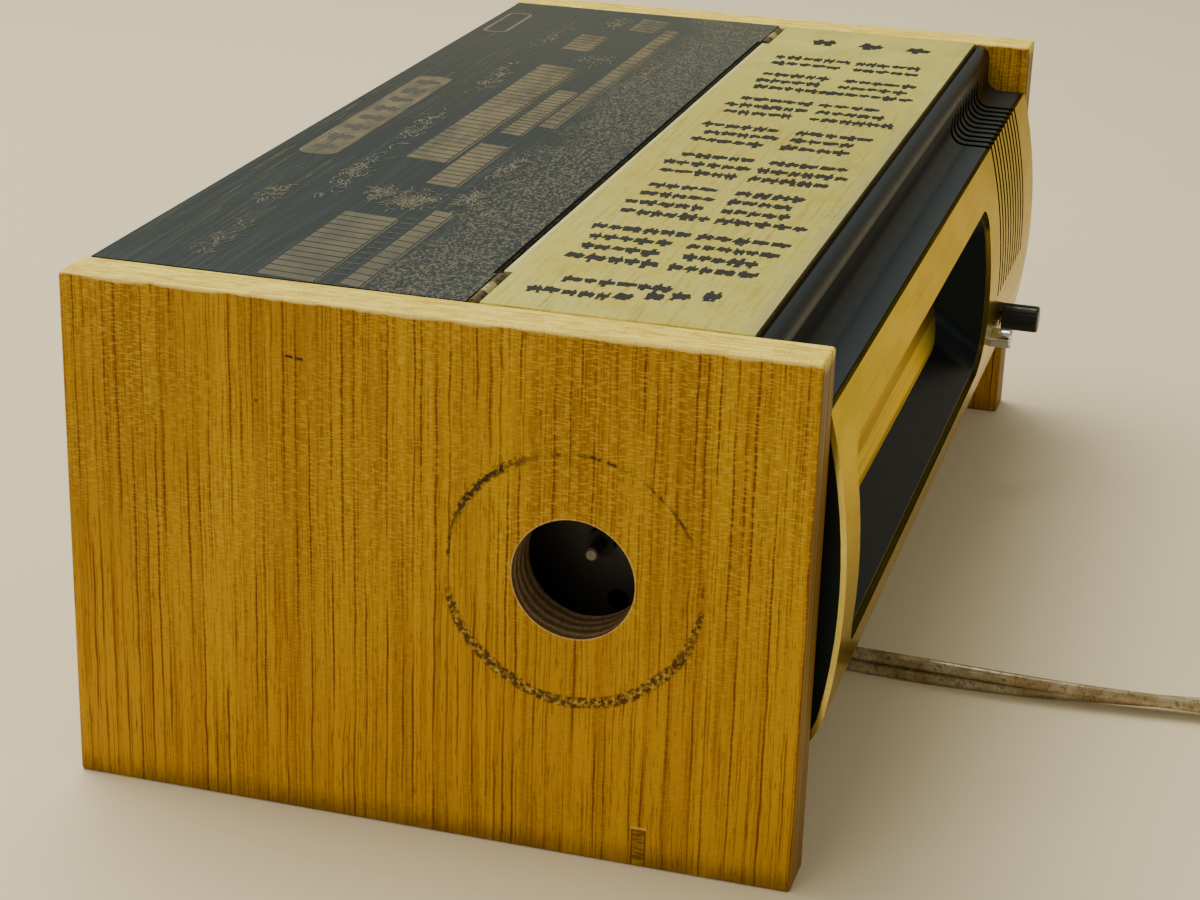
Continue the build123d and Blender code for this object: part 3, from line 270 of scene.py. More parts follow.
def veneer(name, rubbed):
    """Amber oak veneer with the grain upright, pale edges, partly worn and partly a painted highlight,
    and the rub ring of a lost knob.
    """
    s = Shader(name, (0.4, 0.2, 0.02), 0.5, Specular_IOR_Level=0.20)
    y, z = s.axis("Y"), s.axis("Z")
    # Darker towards the foot of the board, in patches.
    foot_patchiness = s.noise((45, 45, 90), detail=4)
    low = s.times(s.ramp(z, 7 * MM, 0.0), s.ramp(foot_patchiness, 0.3, 0.6, 0.5, 1.0))
    base = s.mix(s.times(low, 0.7), upright_grain(s), (0.085, 0.040, 0.002))
    edge = edge_grain(s, z)
    if rubbed:
        base = rub_ring(s, base, y, z)
        base = old_marks(s, base, y, z)
        inside = s.ramp(from_hole(s, y, z), HOLE_R + 0.6 * MM, HOLE_R + 0.2 * MM)
        edge = s.mix(inside, edge, plies(s))
    ragged = s.noise((110, 110, 400), detail=4)
    worn = s.plus(z, s.times(ragged, 2.4 * MM))
    base = s.mix(s.ramp(worn, TOP_Z + 0.3 * MM, TOP_Z + 0.8 * MM), base, (0.80, 0.60, 0.15))
    s.set("Base Color", s.mix(s.ramp(s.facing("X"), 0.55, 0.8), edge, base))
    return s.material


def veins(s, across, pitch, half_width):
    """Thin upright lines at uneven places, pitch apart on average."""
    made = s.node("ShaderNodeTexVoronoi", voronoi_dimensions="1D", feature="DISTANCE_TO_EDGE")
    s.put(made.inputs["W"], s.math("DIVIDE", across, pitch))
    made.inputs["Scale"].default_value = 1.0
    return s.ramp(made.outputs["Distance"], half_width / pitch, 0.35 * half_width / pitch)


def broken_veins(s):
    """Strong veins and fine ones, a little wavy, that fade out and come back on their way up."""
    push = s.minus(s.noise((60, 60, 70), detail=2), 0.5)
    across = s.plus(s.axis("Y"), s.times(push, 1.2 * MM))
    strong_here = s.ramp(s.noise((420, 420, 26), detail=2), 0.40, 0.62)
    fine_here = s.ramp(s.noise((700, 700, 42), detail=2), 0.42, 0.62)
    strong = s.times(veins(s, across, VEIN_PITCH, VEIN_HALF), strong_here)
    fine = s.times(veins(s, across, HAIR_PITCH, HAIR_HALF), fine_here)
    return strong, fine


def pale_rays(s):
    """Short pale flecks across the grain, mostly in the upper half and in patches."""
    ray = s.noise((520, 520, 2600), detail=1, rough=0.4)
    upper = s.ramp(s.axis("Z"), 30 * MM, 85 * MM, 0.35, 1.0)
    patchy = s.ramp(s.noise((30, 30, 22), detail=1), 0.30, 0.58, 0.3, 1.0)
    return s.times(s.ramp(ray, 0.52, 0.60), s.times(patchy, upper))


def upright_grain(s):
    """Veneer colour and relief: soft amber bands, many thin dark veins and short pale rays."""
    broad = s.noise((70, 70, 4), detail=2)
    streak = s.noise((560, 560, 12), rough=0.6)
    pore = s.noise((2400, 2400, 190), detail=2, rough=0.6)
    lower = s.ramp(s.axis("Z"), 85 * MM, 20 * MM)
    strong, fine = broken_veins(s)
    rays = pale_rays(s)
    base = s.mix(s.ramp(broad, 0.3, 0.7), (0.40, 0.208, 0.0), (0.52, 0.290, 0.001))
    base = s.mix(s.times(lower, 0.42), base, (0.62, 0.31, 0.0))
    base = s.mix(s.ramp(streak, 0.42, 0.66, 0.0, 0.55), base, (0.28, 0.110, 0.0))
    base = s.mix(s.times(fine, 0.66), base, (0.21, 0.064, 0.0))
    base = s.mix(s.times(strong, 0.90), base, (0.135, 0.027, 0.0))
    base = s.mix(s.ramp(pore, 0.57, 0.66, 0.0, 0.6), base, (0.16, 0.055, 0.0))
    base = s.mix(s.times(rays, 0.36), base, (0.74, 0.50, 0.045))
    s.set("Roughness", s.ramp(streak, 0.3, 0.7, 0.42, 0.60))
    relief = s.minus(s.times(rays, 0.35), s.plus(strong, pore))
    chips = s.noise((240, 300, 300), detail=5, rough=0.7)
    at_edge = s.ramp(s.axis("Z"), TOP_Z - 3.5 * MM, TOP_Z - 0.5 * MM)
    s.bump(s.plus(relief, s.times(s.times(chips, at_edge), 9.0)), 0.12 * MM, 0.7)
    return base


def edge_grain(s, z):
    """The boards' narrow edges: pale on top, partly worn wood and partly a painted highlight of the
    light from above, and brown and dirty down the front, partly painted shade.
    """
    fine = s.noise((1500, 45, 45), detail=4, rough=0.65)
    speck = s.noise((500, 130, 130), detail=5, rough=0.7)
    pale = s.mix(s.ramp(fine, 0.40, 0.62), (1.0, 0.90, 0.17), (0.82, 0.58, 0.05))
    pale = s.mix(s.ramp(speck, 0.47, 0.60, 0.0, 0.60), pale, (0.60, 0.36, 0.03))
    strip = s.noise((900, 900, 14))
    brown = s.mix(s.ramp(strip, 0.35, 0.65), (0.25, 0.135, 0.014), (0.13, 0.062, 0.008))
    rubbed = s.plus(z, s.times(speck, 10 * MM))
    near_top = s.ramp(rubbed, TOP_Z + 2 * MM, TOP_Z + 5 * MM)
    # Up-facing surfaces take the pale colour as a painted highlight of light from above, besides where
    # the edge is worn; the front keeps the brown, partly its own colour and partly painted shade.
    worn_and_lit_top = s.math("MAXIMUM", near_top, s.ramp(s.facing("Z"), 0.4, 0.8))
    above_foot = s.times(worn_and_lit_top, s.ramp(z, 20 * MM, 50 * MM))
    return s.mix(above_foot, brown, pale)


def from_hole(s, y, z):
    """How far a place is from the axis of the hole."""
    dy = s.minus(y, HOLE_Y)
    dz = s.minus(z, HOLE_Z)
    return s.math("SQRT", s.plus(s.times(dy, dy), s.times(dz, dz)))


def plies(s):
    """Bare, dirty plies of the board, as bands across its thickness."""
    bent = s.noise((60, 60, 60), detail=2)
    across = s.plus(s.times(s.axis("X"), 2200.0), s.times(bent, 7.0))
    band = s.math("SINE", across)
    colour = s.mix(s.ramp(band, -0.3, 0.4), (0.13, 0.082, 0.038), (0.30, 0.205, 0.10))
    grit = s.noise((1100, 1100, 1100))
    return s.mix(s.ramp(grit, 0.48, 0.68, 0.0, 0.6), colour, (0.06, 0.036, 0.02))


def rub_ring(s, base, y, z):
    """The dotted ring round the hole, smudged below and scorched at one place, and a painted highlight
    along the hole's rim.
    """
    dy, dz = s.minus(y, HOLE_Y), s.minus(z, HOLE_Z)
    away = from_hole(s, y, z)
    waver = s.times(s.minus(s.noise((60, 60, 60), detail=1), 0.5), 2.2 * MM)
    off = s.math("ABSOLUTE", s.plus(s.minus(away, RUB_R), waver))
    spots = s.noise((850, 850, 850), rough=0.75)
    below = s.ramp(dz, 2 * MM, -16 * MM)
    wide = s.plus(0.5 * MM, s.times(below, 1.0 * MM))
    ring = s.math("SUBTRACT", 1.0, s.math("DIVIDE", off, wide), clamp=True)
    smudge = s.times(s.ramp(ring, 0.0, 0.6), s.ramp(below, 0.0, 1.0, 0.3, 1.0))
    base = s.mix(s.times(smudge, 0.62), base, (0.20, 0.115, 0.010))
    pale = s.times(s.times(smudge, below), s.ramp(spots, 0.57, 0.62))
    base = s.mix(s.times(pale, 0.6), base, (0.60, 0.42, 0.13))
    base = s.mix(s.times(ring_dots(s, ring, below, spots), 0.9), base, (0.050, 0.020, 0.002))
    corner = s.times(s.ramp(dy, 6 * MM, 16 * MM), s.ramp(dz, 4 * MM, 14 * MM))
    near = s.times(s.ramp(off, 1.4 * MM, 0.5 * MM), corner)
    burnt = s.times(near, s.ramp(spots, 0.47, 0.52))
    base = s.mix(s.times(burnt, 0.95), base, (0.018, 0.008, 0.006))
    # Painted highlight: a thin pale ring on the chamfered edge of the hole.
    at_rim = s.ramp(away, HOLE_R + 0.35 * MM, HOLE_R + 0.20 * MM)
    rim_highlight = s.times(at_rim, s.ramp(spots, 0.38, 0.48, 0.35, 1.0))
    return s.mix(s.times(rim_highlight, 0.45), base, (0.66, 0.50, 0.20))


def ring_dots(s, ring, below, spots):
    """Where the ring is dark: here and there above, nearly everywhere below."""
    pressed = s.ramp(s.noise((130, 130, 130), detail=2), 0.40, 0.56)
    need = s.minus(0.52, s.times(below, 0.03))
    dots = s.times(s.ramp(ring, 0.0, 0.4), s.ramp(s.minus(need, spots), -0.03, 0.03))
    return s.times(dots, s.math("MAXIMUM", pressed, below))


def patch(s, across, up, middle, half, soft):
    """1 inside a small rectangle of the board's face, 0 outside."""
    aside = s.math("ABSOLUTE", s.minus(across, middle[0]))
    above = s.math("ABSOLUTE", s.minus(up, middle[1]))
    return s.times(s.ramp(aside, half[0] + soft, half[0]), s.ramp(above, half[1] + soft, half[1]))


def old_marks(s, base, y, z):
    """A sliver of lost veneer at the foot, and two small dark dents high up."""
    rough = s.noise((700, 700, 200))
    across = s.noise((300, 300, 1900), detail=2)
    outer = patch(s, y, z, (CHIP_Y, 4.2 * MM), (1.5 * MM, 4.7 * MM), 0.2 * MM)
    inner = patch(s, y, z, (CHIP_Y, 3.8 * MM), (1.1 * MM, 4.7 * MM), 0.3 * MM)
    lifted = patch(s, y, z, (CHIP_Y, 9.1 * MM), (1.6 * MM, 0.1 * MM), 0.3 * MM)
    bare = s.mix(s.ramp(across, 0.42, 0.58), (0.13, 0.060, 0.0), (0.34, 0.18, 0.005))
    clean = s.times(inner, s.ramp(rough, 0.2, 0.5, 0.5, 1.0))
    lost = s.mix(clean, (0.075, 0.030, 0.0), bare)
    base = s.mix(s.times(outer, 0.85), base, lost)
    base = s.mix(s.times(lifted, 0.8), base, (0.70, 0.45, 0.10))
    tilted = s.minus(z, s.times(y, DENT_SLOPE))
    dent_middle = (DENT_Y, DENT_Z - DENT_SLOPE * DENT_Y)
    dent = patch(s, y, tilted, dent_middle, (1.8 * MM, 0.1 * MM), 0.4 * MM)
    base = s.mix(s.times(dent, s.ramp(rough, 0.42, 0.54)), base, (0.045, 0.018, 0.004))
    dot = patch(s, y, z, (DOT_Y, DOT_Z), (0.2 * MM, 0.2 * MM), 0.4 * MM)
    return s.mix(s.times(dot, 0.7), base, (0.05, 0.02, 0.005))


def board_wood():
    """Raw board of the hidden wooden pieces."""
    s = Shader("board_wood", (0.45, 0.33, 0.19), 0.7)
    grain = s.noise((16, 420, 420), detail=4, rough=0.6)
    s.set("Base Color", s.mix(s.ramp(grain, 0.35, 0.65), (0.50, 0.38, 0.22), (0.34, 0.23, 0.12)))
    s.bump(grain, 0.2 * MM, 0.5)
    return s.material


def hardboard():
    """Brown pressed board of the back cover."""
    s = Shader("hardboard", (0.16, 0.09, 0.045), 0.75)
    fibre = s.noise((900, 900, 900), detail=5, rough=0.7)
    s.set("Base Color", s.mix(s.ramp(fibre, 0.35, 0.65), (0.19, 0.11, 0.055), (0.11, 0.06, 0.03)))
    s.bump(fibre, 0.1 * MM, 0.6)
    return s.material


# ---- metals
LID_BACK_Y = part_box("lid_plate")[1].y
SCUFF_X, SCUFF_Y = -83.0 * MM, back(48.5)  # silvery worn place on the lid


def gold_sheet():
    """Satin gold-coloured sheet, rubbed along its length and dulled in patches, with painted sheen
    towards the far end and a painted glint along its back edge.
    """
    s = Shader("gold_sheet", (0.60, 0.50, 0.16), 0.3, metallic=0.75)
    s.set("Specular Tint", (0.92, 0.86, 0.46))
    rub = s.noise((45, 1000, 1000), detail=4)
    cloud = s.noise((60, 60, 60), detail=4, rough=0.6)
    grain = s.noise((700, 700, 700), detail=4, rough=0.7)
    colour = s.mix(s.ramp(cloud, 0.32, 0.68), (0.96, 0.92, 0.30), (0.62, 0.56, 0.13))
    colour = s.mix(s.ramp(rub, 0.48, 0.72, 0.0, 0.5), colour, (0.36, 0.32, 0.075))
    colour = s.mix(s.ramp(grain, 0.56, 0.72, 0.0, 0.55), colour, (0.28, 0.24, 0.06))
    near_edge = s.ramp(s.axis("Y"), back(21), back(16.5))
    colour = s.mix(s.times(near_edge, 0.5), colour, (0.52, 0.54, 0.34))
    # Painted sheen: the sheet is made paler and yellower towards the far end.
    colour = s.mix(s.ramp(s.axis("X"), -10 * MM, 130 * MM, 0.0, 0.6), colour, (1.0, 0.98, 0.30))
    # Painted glint: a thin pale line along the lid's back edge, by the hinges.
    back_edge_glint = s.ramp(s.axis("Y"), LID_BACK_Y - 1.05 * MM, LID_BACK_Y - 0.70 * MM)
    colour = s.mix(s.times(back_edge_glint, 0.75), colour, (1.0, 0.98, 0.62))
    s.set("Base Color", scuffed(s, colour))
    s.set("Roughness", s.ramp(cloud, 0.3, 0.7, 0.32, 0.46))
    s.bump(s.plus(rub, grain), 0.03 * MM, 0.5)
    return s.material


def scuffed(s, colour):
    """A small silvery scuff on the lid, where the gold has worn through."""
    aside = s.minus(s.axis("X"), SCUFF_X)
    behind = s.minus(s.axis("Y"), SCUFF_Y)
    away_squared = s.plus(s.times(aside, aside), s.times(behind, behind))
    rough = s.noise((500, 500, 500), detail=4, rough=0.7)
    share = s.times(s.ramp(away_squared, 16 * MM * MM, 2 * MM * MM), s.ramp(rough, 0.44, 0.56))
    return s.mix(share, colour, (0.42, 0.52, 0.56))


def dark_sheet():
    """Blackened sheet with a rubbed grain, painted sheen that lightens it towards the far end, and,
    towards the seam, a finely stippled ground.
    """
    s = Shader("dark_sheet", (0.03, 0.034, 0.035), 0.34, Specular_IOR_Level=0.36)
    s.set("Specular Tint", (0.70, 0.93, 1.0))
    rub = s.noise((30, 1500, 1500), detail=4)
    cloud = s.noise((30, 55, 30))
    dark = s.mix(s.ramp(rub, 0.46, 0.74, 0.0, 0.7), (0.002, 0.010, 0.015), (0.016, 0.031, 0.037))
    # Painted sheen: lighter and greyer towards the far end.
    dark = s.mix(s.ramp(s.axis("X"), -60 * MM, 140 * MM, 0.0, 0.5), dark, (0.060, 0.066, 0.050))
    edge = s.plus(s.axis("Y"), s.times(cloud, 30 * MM))
    ground = s.ramp(edge, back(119), back(108))
    grain = s.noise((1100, 1700, 1700), detail=2, rough=0.6)
    stipple = s.times(s.ramp(grain, 0.52, 0.56), ground)
    s.set("Base Color", s.mix(s.times(stipple, 0.85), dark, (0.13, 0.120, 0.080)))
    s.set("Roughness", s.ramp(rub, 0.3, 0.7, 0.30, 0.44))
    s.bump(grain, 0.03 * MM, 0.3)
    return s.material


def bare_etch(name, bright, dull):
    """Etched parts of the dark plate, where its dull metal shows, darker towards the near end as
    painted shade.
    """
    s = Shader(name, bright, 0.42, metallic=0.3)
    wear = s.noise((60, 160, 160), detail=5, rough=0.7)
    worn = s.mix(s.ramp(wear, 0.35, 0.65), bright, dull)
    # Painted shade: the etched metal darkens towards the near end, where the plates show less sheen.
    near_end_shade = s.ramp(s.axis("X"), -45 * MM, -130 * MM, 0.0, 0.6)
    s.set("Base Color", s.mix(near_end_shade, worn, (0.055, 0.062, 0.046)))
    return s.material


def bright_face():
    """Champagne-coloured sheet, brushed along its length, with a dull bloom and a far end painted
    darker as shade.
    """
    s = Shader("bright_face", (0.60, 0.44, 0.14), 0.16, metallic=1.0)
    s.set("Specular Tint", (0.80, 0.66, 0.30))
    far_end_shade = s.ramp(s.axis("X"), 0.0, 140 * MM)
    brush = s.noise((14, 1600, 1600))
    bloom = s.noise((40, 90, 90), detail=4)
    colour = s.mix(s.ramp(bloom, 0.3, 0.7), (0.60, 0.48, 0.14), (0.46, 0.36, 0.09))
    # Painted shade: the face darkens towards the far end.
    colour = s.mix(s.times(far_end_shade, 0.75), colour, (0.22, 0.165, 0.035))
    colour = s.mix(s.ramp(brush, 0.52, 0.75, 0.0, 0.5), colour, (0.25, 0.19, 0.045))
    s.set("Base Color", colour)
    rough = s.plus(s.ramp(bloom, 0.3, 0.7, 0.12, 0.18), s.times(brush, 0.06))
    s.set("Roughness", rough)
    s.bump(brush, 0.01 * MM, 0.3)
    return s.material


def metal(name, colour, roughness, metallic=1.0):
    """Metal of the small pieces, with fine handling marks."""
    s = Shader(name, colour, roughness, metallic=metallic)
    mark = s.noise((500, 500, 500), detail=4)
    darker = tuple(0.6 * part for part in colour)
    s.set("Base Color", s.mix(s.ramp(mark, 0.5, 0.75, 0.0, 0.6), colour, darker))
    s.set("Roughness", s.ramp(mark, 0.3, 0.7, max(roughness - 0.06, 0.02), roughness + 0.10))
    return s.material


def old_brass(name, bright, dull):
    """Dull hinge metal with brown dirt in patches."""
    s = Shader(name, bright, 0.38, metallic=0.8)
    dirt = s.noise((700, 700, 700), detail=4, rough=0.65)
    s.set("Base Color", s.mix(s.ramp(dirt, 0.46, 0.66), bright, dull))
    s.set("Roughness", s.ramp(dirt, 0.3, 0.7, 0.28, 0.55))
    return s.material


# ---- plastics and the rest
def black_moulding():
    """Black moulded plastic: faint grain, a little dust and a few pale specks on the ledge, and a
    painted bluish sheen on the ledge's up-facing flats.
    """
    s = Shader("black_moulding", (0.005, 0.006, 0.007), 0.3, Specular_IOR_Level=0.14)
    s.set("Specular Tint", (0.66, 0.88, 1.0))
    grain = s.noise((1800, 1800, 1800), detail=2)
    dust = s.noise((220, 300, 300), detail=5, rough=0.7)
    speck = s.ramp(s.cells(210.0), 0.035, 0.015)
    high = s.ramp(s.axis("Z"), 94 * MM, 98 * MM)
    flat = s.times(s.ramp(s.facing("Z"), 0.6, 0.95), high)
    haze = s.times(s.ramp(dust, 0.50, 0.80, 0.0, 0.08), flat)
    # Painted sheen: up-facing flats high on the moulding are lighter and bluer than the rest of the
    # black.
    black = s.mix(flat, (0.002, 0.003, 0.004), (0.015, 0.025, 0.033))
    colour = s.mix(haze, black, (0.10, 0.095, 0.08))
    shown = s.times(speck, flat)
    s.set("Base Color", s.mix(s.times(shown, 0.5), colour, (0.35, 0.32, 0.24)))
    s.set("Roughness", s.ramp(dust, 0.35, 0.7, 0.30, 0.35))
    s.bump(grain, 0.02 * MM, 0.3)
    return s.material


def plastic(name, colour, roughness, shine=0.5):
    """Moulded plastic with slight mottling."""
    s = Shader(name, colour, roughness, Specular_IOR_Level=shine)
    mottle = s.noise((400, 400, 400), detail=4)
    darker = tuple(0.7 * part for part in colour)
    s.set("Base Color", s.mix(s.ramp(mottle, 0.45, 0.7, 0.0, 0.7), colour, darker))
    s.set("Roughness", s.ramp(mottle, 0.3, 0.7, roughness - 0.05, roughness + 0.08))
    s.bump(mottle, 0.04 * MM, 0.3)
    return s.material


def tinted_glass():
    """Sheet over the dial with a gold mirror coat that shows at a shallow angle, where amber streaks
    are a painted reflection.
    """
    s = Shader("tinted_glass", (0.95, 0.82, 0.30), 0.03, IOR=1.5)
    s.set("Transmission Weight", 0.96)
    grazing = s.node("ShaderNodeLayerWeight")
    grazing.inputs["Blend"].default_value = 0.5
    shallow = grazing.outputs["Facing"]
    band = s.ramp(s.noise((2, 150, 300)), 0.45, 0.55)
    s.set("Metallic", s.ramp(shallow, 0.45, 0.85, 0.10, 0.85))
    s.set("Specular Tint", (0.84, 0.62, 0.07))
    # Painted reflection: amber streaks of lit surroundings, shown where the sheet is seen at a shallow
    # angle.
    reflected_streaks = s.mix(band, (0.96, 0.78, 0.16), (0.44, 0.30, 0.02))
    s.set("Base Color", s.mix(s.ramp(shallow, 0.35, 0.70), (0.97, 0.85, 0.42), reflected_streaks))
    s.set("Roughness", s.ramp(shallow, 0.50, 0.85, 0.02, 0.34))
    return s.material


def dial_card():
    """Gold-coloured card behind the glass."""
    s = Shader("dial_card", (0.80, 0.62, 0.22), 0.35, metallic=0.4)
    tone = s.noise((12, 700, 700))
    s.set("Base Color", s.mix(s.ramp(tone, 0.35, 0.65), (0.88, 0.70, 0.27), (0.70, 0.50, 0.15)))
    return s.material


def speaker_paper():
    """Dark pressed paper."""
    s = Shader("speaker_paper", (0.05, 0.045, 0.04), 0.9)
    fibre = s.noise((1200, 1200, 1200), detail=4)
    s.set("Base Color", s.mix(s.ramp(fibre, 0.4, 0.7), (0.05, 0.045, 0.04), (0.09, 0.08, 0.07)))
    s.bump(fibre, 0.1 * MM, 0.6)
    return s.material


def windings():
    """Enamelled copper wire in close turns."""
    s = Shader("windings", (0.45, 0.16, 0.05), 0.3, metallic=0.7)
    turn = s.node("ShaderNodeTexWave", wave_type="BANDS", bands_direction="X")
    s.put(turn.inputs["Vector"], s.place)
    turn.inputs["Scale"].default_value = 700.0
    s.set("Base Color", s.mix(turn.outputs["Fac"], (0.50, 0.19, 0.06), (0.20, 0.06, 0.02)))
    s.bump(turn.outputs["Fac"], 0.1 * MM, 0.6)
    return s.material


def old_vinyl():
    """Yellowed clear covering of the twin flex, with the wires' silver and dark grime showing."""
    s = Shader("old_vinyl", (0.40, 0.33, 0.20), 0.30, metallic=0.35)
    strand = s.noise((700, 700, 700), detail=4, rough=0.65)
    aged = s.noise((80, 80, 80), detail=4, rough=0.6)
    colour = s.mix(s.ramp(aged, 0.35, 0.62), (0.52, 0.46, 0.30), (0.30, 0.21, 0.085))
    colour = s.mix(s.ramp(strand, 0.50, 0.66, 0.0, 0.75), colour, (0.10, 0.06, 0.022))
    s.set("Base Color", colour)
    s.set("Roughness", s.ramp(strand, 0.3, 0.7, 0.24, 0.42))
    s.set("Coat Weight", 0.4)
    s.bump(strand, 0.08 * MM, 0.5)
    return s.material


# ---- mesh helpers
def add_piece(name, vertices, faces, body, material, smooth=False):
    """A new mesh piece that rides on a body."""
    mesh = bpy.data.meshes.new(name)
    mesh.from_pydata([tuple(v) for v in vertices], [], faces)
    mesh.update()
    if smooth:
        mesh.polygons.foreach_set("use_smooth", [True] * len(mesh.polygons))
    mesh.materials.append(material)
    piece = bpy.data.objects.new(name, mesh)
    bpy.context.scene.collection.objects.link(piece)
    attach(piece, body)
    return piece


def mesh_of(curve):
    """The corners and faces that a curve makes; the curve itself is taken away again."""
    shown = bpy.data.objects.new(curve.name, curve)
    mesh = bpy.data.meshes.new_from_object(shown)
    corners = [v.co.copy() for v in mesh.vertices]
    faces = [tuple(polygon.vertices) for polygon in mesh.polygons]
    bpy.data.objects.remove(shown)
    bpy.data.curves.remove(curve)
    bpy.data.meshes.remove(mesh)
    return corners, faces


class Inlay:
    """Flat shapes a few hundredths of a millimetre proud of a sheet, gathered into one mesh.

    Neighbours differ a little in height, so that no two crossing strokes share a surface.
    """

    PROUD = 0.03 * MM
    LAYER = 0.004 * MM
    LAYERS = 8
    SUNK = 0.05 * MM

    def __init__(self, z):
        self.z = z
        self.shapes = 0
        self.vertices = []
        self.faces = []

    def shape(self, points):
        """A closed plate with the given outline, counter-clockwise seen from above."""
        first, count = len(self.vertices), len(points)
        lift = self.LAYER * (self.shapes % self.LAYERS)
        self.shapes += 1
        self.vertices += [(x, y, self.z + self.PROUD + lift) for x, y in points]
        self.vertices += [(x, y, self.z - self.SUNK + lift) for x, y in points]
        self.faces.append(tuple(range(first, first + count)))
        self.faces.append(tuple(reversed(range(first + count, first + 2 * count))))
        for i in range(count):
            a, b = first + i, first + (i + 1) % count
            self.faces.append((b, a, a + count, b + count))

    def stroke(self, start, end, wide_start, wide_end):
        """A straight brush stroke with its own width at each end."""
        along = Vector((end[0] - start[0], end[1] - start[1]))
        if along.length < 1e-9:
            return
        side = Vector((-along.y, along.x)).normalized() / 2
        a, b = Vector(start), Vector(end)
        at_start, at_end = side * wide_start, side * wide_end
        self.shape([(p.x, p.y) for p in (a - at_start, b - at_end, b + at_end, a + at_start)])

    def piece(self, name, body, slot, material):
        """The gathered shapes as one mesh piece."""
        return add_piece(name, self.vertices, self.faces, body, material)


# ---- the gold lid's marks
MARK_GROUPS = ((-107, 4), (-69, 4), (-31, 3), (1, 3), (33, 3), (64, 3), (95, 2))  # first X and number
MARK_PITCH = 8.0  # of the columns in a group; X, depth and pitch are in millimetres
MARK_REAR, MARK_BREAK, MARK_FRONT = 67.5, 44.5, 23  # depths where the columns start, pause and stop
NEAR_COLUMNS = ((-132, 67, 52), (-123, 62, 40))  # X, first depth and last depth
NEAR_BLOTS, NEAR_X, NEAR_SLANT = (36, 41, 47, 30), -132, 0.4
FAR_BLOTS, FAR_X = (30, 44, 58), 127


def brush_blot(inlay, rng, x, y, long, wide):
    """One ragged blot: a thick stroke along Y with shorter ones across it; it stands for nothing."""
    lean = rng.uniform(-0.08, 0.08) * wide
    inlay.stroke((x - lean, y - 0.50 * long), (x + lean, y + 0.50 * long), 0.34 * wide, 0.52 * wide)
    bars = rng.choice((1, 2, 2))
    for i in range(bars):
        cy = y + ((i + 0.5) / bars - 0.5 + rng.uniform(-0.06, 0.06)) * long
        reach = rng.uniform(0.26, 0.52) * wide
        lean = rng.uniform(-0.16, 0.16) * long
        thick = rng.uniform(0.20, 0.42) * long
        inlay.stroke((x - reach, cy - lean), (x + 0.9 * reach, cy + lean), thick, 0.6 * thick)


def mark_column(inlay, rng, x, start, stop):
    """A run of blots from one depth towards the front, to another."""
    depth = start
    while depth > stop:
        long = rng.uniform(2.4, 4.4)
        aside = rng.uniform(-0.3, 0.3)
        wide = rng.uniform(5.4, 7.4)
        middle = back(depth - long / 2)
        brush_blot(inlay, rng, (x + aside) * MM, middle, long * MM, wide * MM)
        depth -= long + rng.uniform(0.2, 0.7)


def lid_marks(material):
    """Columns of dark blots from back to front over the lid, with a gap half way."""
    rng = random.Random(7)
    inlay = Inlay(TOP_Z)
    for x, start, stop in NEAR_COLUMNS:
        mark_column(inlay, rng, x, start, stop)
    for depth in NEAR_BLOTS:
        x = NEAR_X + NEAR_SLANT * (50 - depth)
        brush_blot(inlay, rng, x * MM, back(depth), 3.6 * MM, 8.0 * MM)
    for first, count in MARK_GROUPS:
        for i in range(count):
            x = first + i * MARK_PITCH
            rear, pause = MARK_REAR - rng.uniform(0.0, 3.0), MARK_BREAK + rng.uniform(2.0, 4.5)
            mark_column(inlay, rng, x, rear, pause)
            again, front = MARK_BREAK - rng.uniform(0.5, 2.0), MARK_FRONT + rng.uniform(0.0, 7.0)
            mark_column(inlay, rng, x, again, front)
    for depth in FAR_BLOTS:
        brush_blot(inlay, rng, FAR_X * MM, back(depth), 6.5 * MM, 10.0 * MM)
    inlay.piece("lid_marks", "lid", "dark_plate", material)


# ---- the dark plate's picture
TILE_GAP = 0.55 * MM
LEAF_WIDTH = 0.34 * MM
FOLIAGE_LIFT, ORNAMENT_LIFT = 0.02 * MM, 0.03 * MM


def roof(inlay, x0, x1, low, high, pitch, shear):
    """A long roof as a row of tiles with dark gaps between; shear slides its far edge along X."""
    count = round((x1 - x0) / pitch)
    for i in range(count):
        a = x0 + i * pitch
        b = a + pitch - TILE_GAP
        inlay.shape([(a, low), (b, low), (b + shear, high), (a + shear, high)])
    inlay.stroke((x0, low - 0.6 * MM), (x1 - 0.5 * MM, low - 0.6 * MM), 0.35 * MM, 0.35 * MM)


def pillars(inlay, x0, x1, low, high, pitch):
    """A row of thin posts under a roof."""
    count = round((x1 - x0) / pitch)
    for i in range(count):
        x = x0 + (i + 0.5) * pitch
        inlay.stroke((x, low), (x, high), 0.4 * MM, 0.4 * MM)


def scribble(inlay, rng, x, y, wide, tall, count):
    """Loose curling strokes: leaves."""
    for _ in range(count):
        a = rng.uniform(0, 2 * math.pi)
        r = rng.uniform(0.1, 1.0)
        last = (x + r * wide * math.cos(a), y + r * tall * math.sin(a))
        turn = rng.uniform(0, 2 * math.pi)
        for _ in range(3):
            turn += rng.uniform(0.3, 1.2)
            reach = rng.uniform(0.9, 2.0) * MM
            following = (last[0] + reach * math.cos(turn), last[1] + 0.7 * reach * math.sin(turn))
            inlay.stroke(last, following, LEAF_WIDTH, LEAF_WIDTH * 0.7)
            last = following


def hatch(inlay, rng, x0, x1, y0, y1, count):
    """Long thin broken lines along the plate: sky."""
    for _ in range(count):
        x = rng.uniform(x0, x1)
        y = rng.uniform(y0, y1)
        long = rng.uniform(6, 26) * MM
        inlay.stroke((x, y), (min(x + long, x1), y), 0.10 * MM, 0.16 * MM)


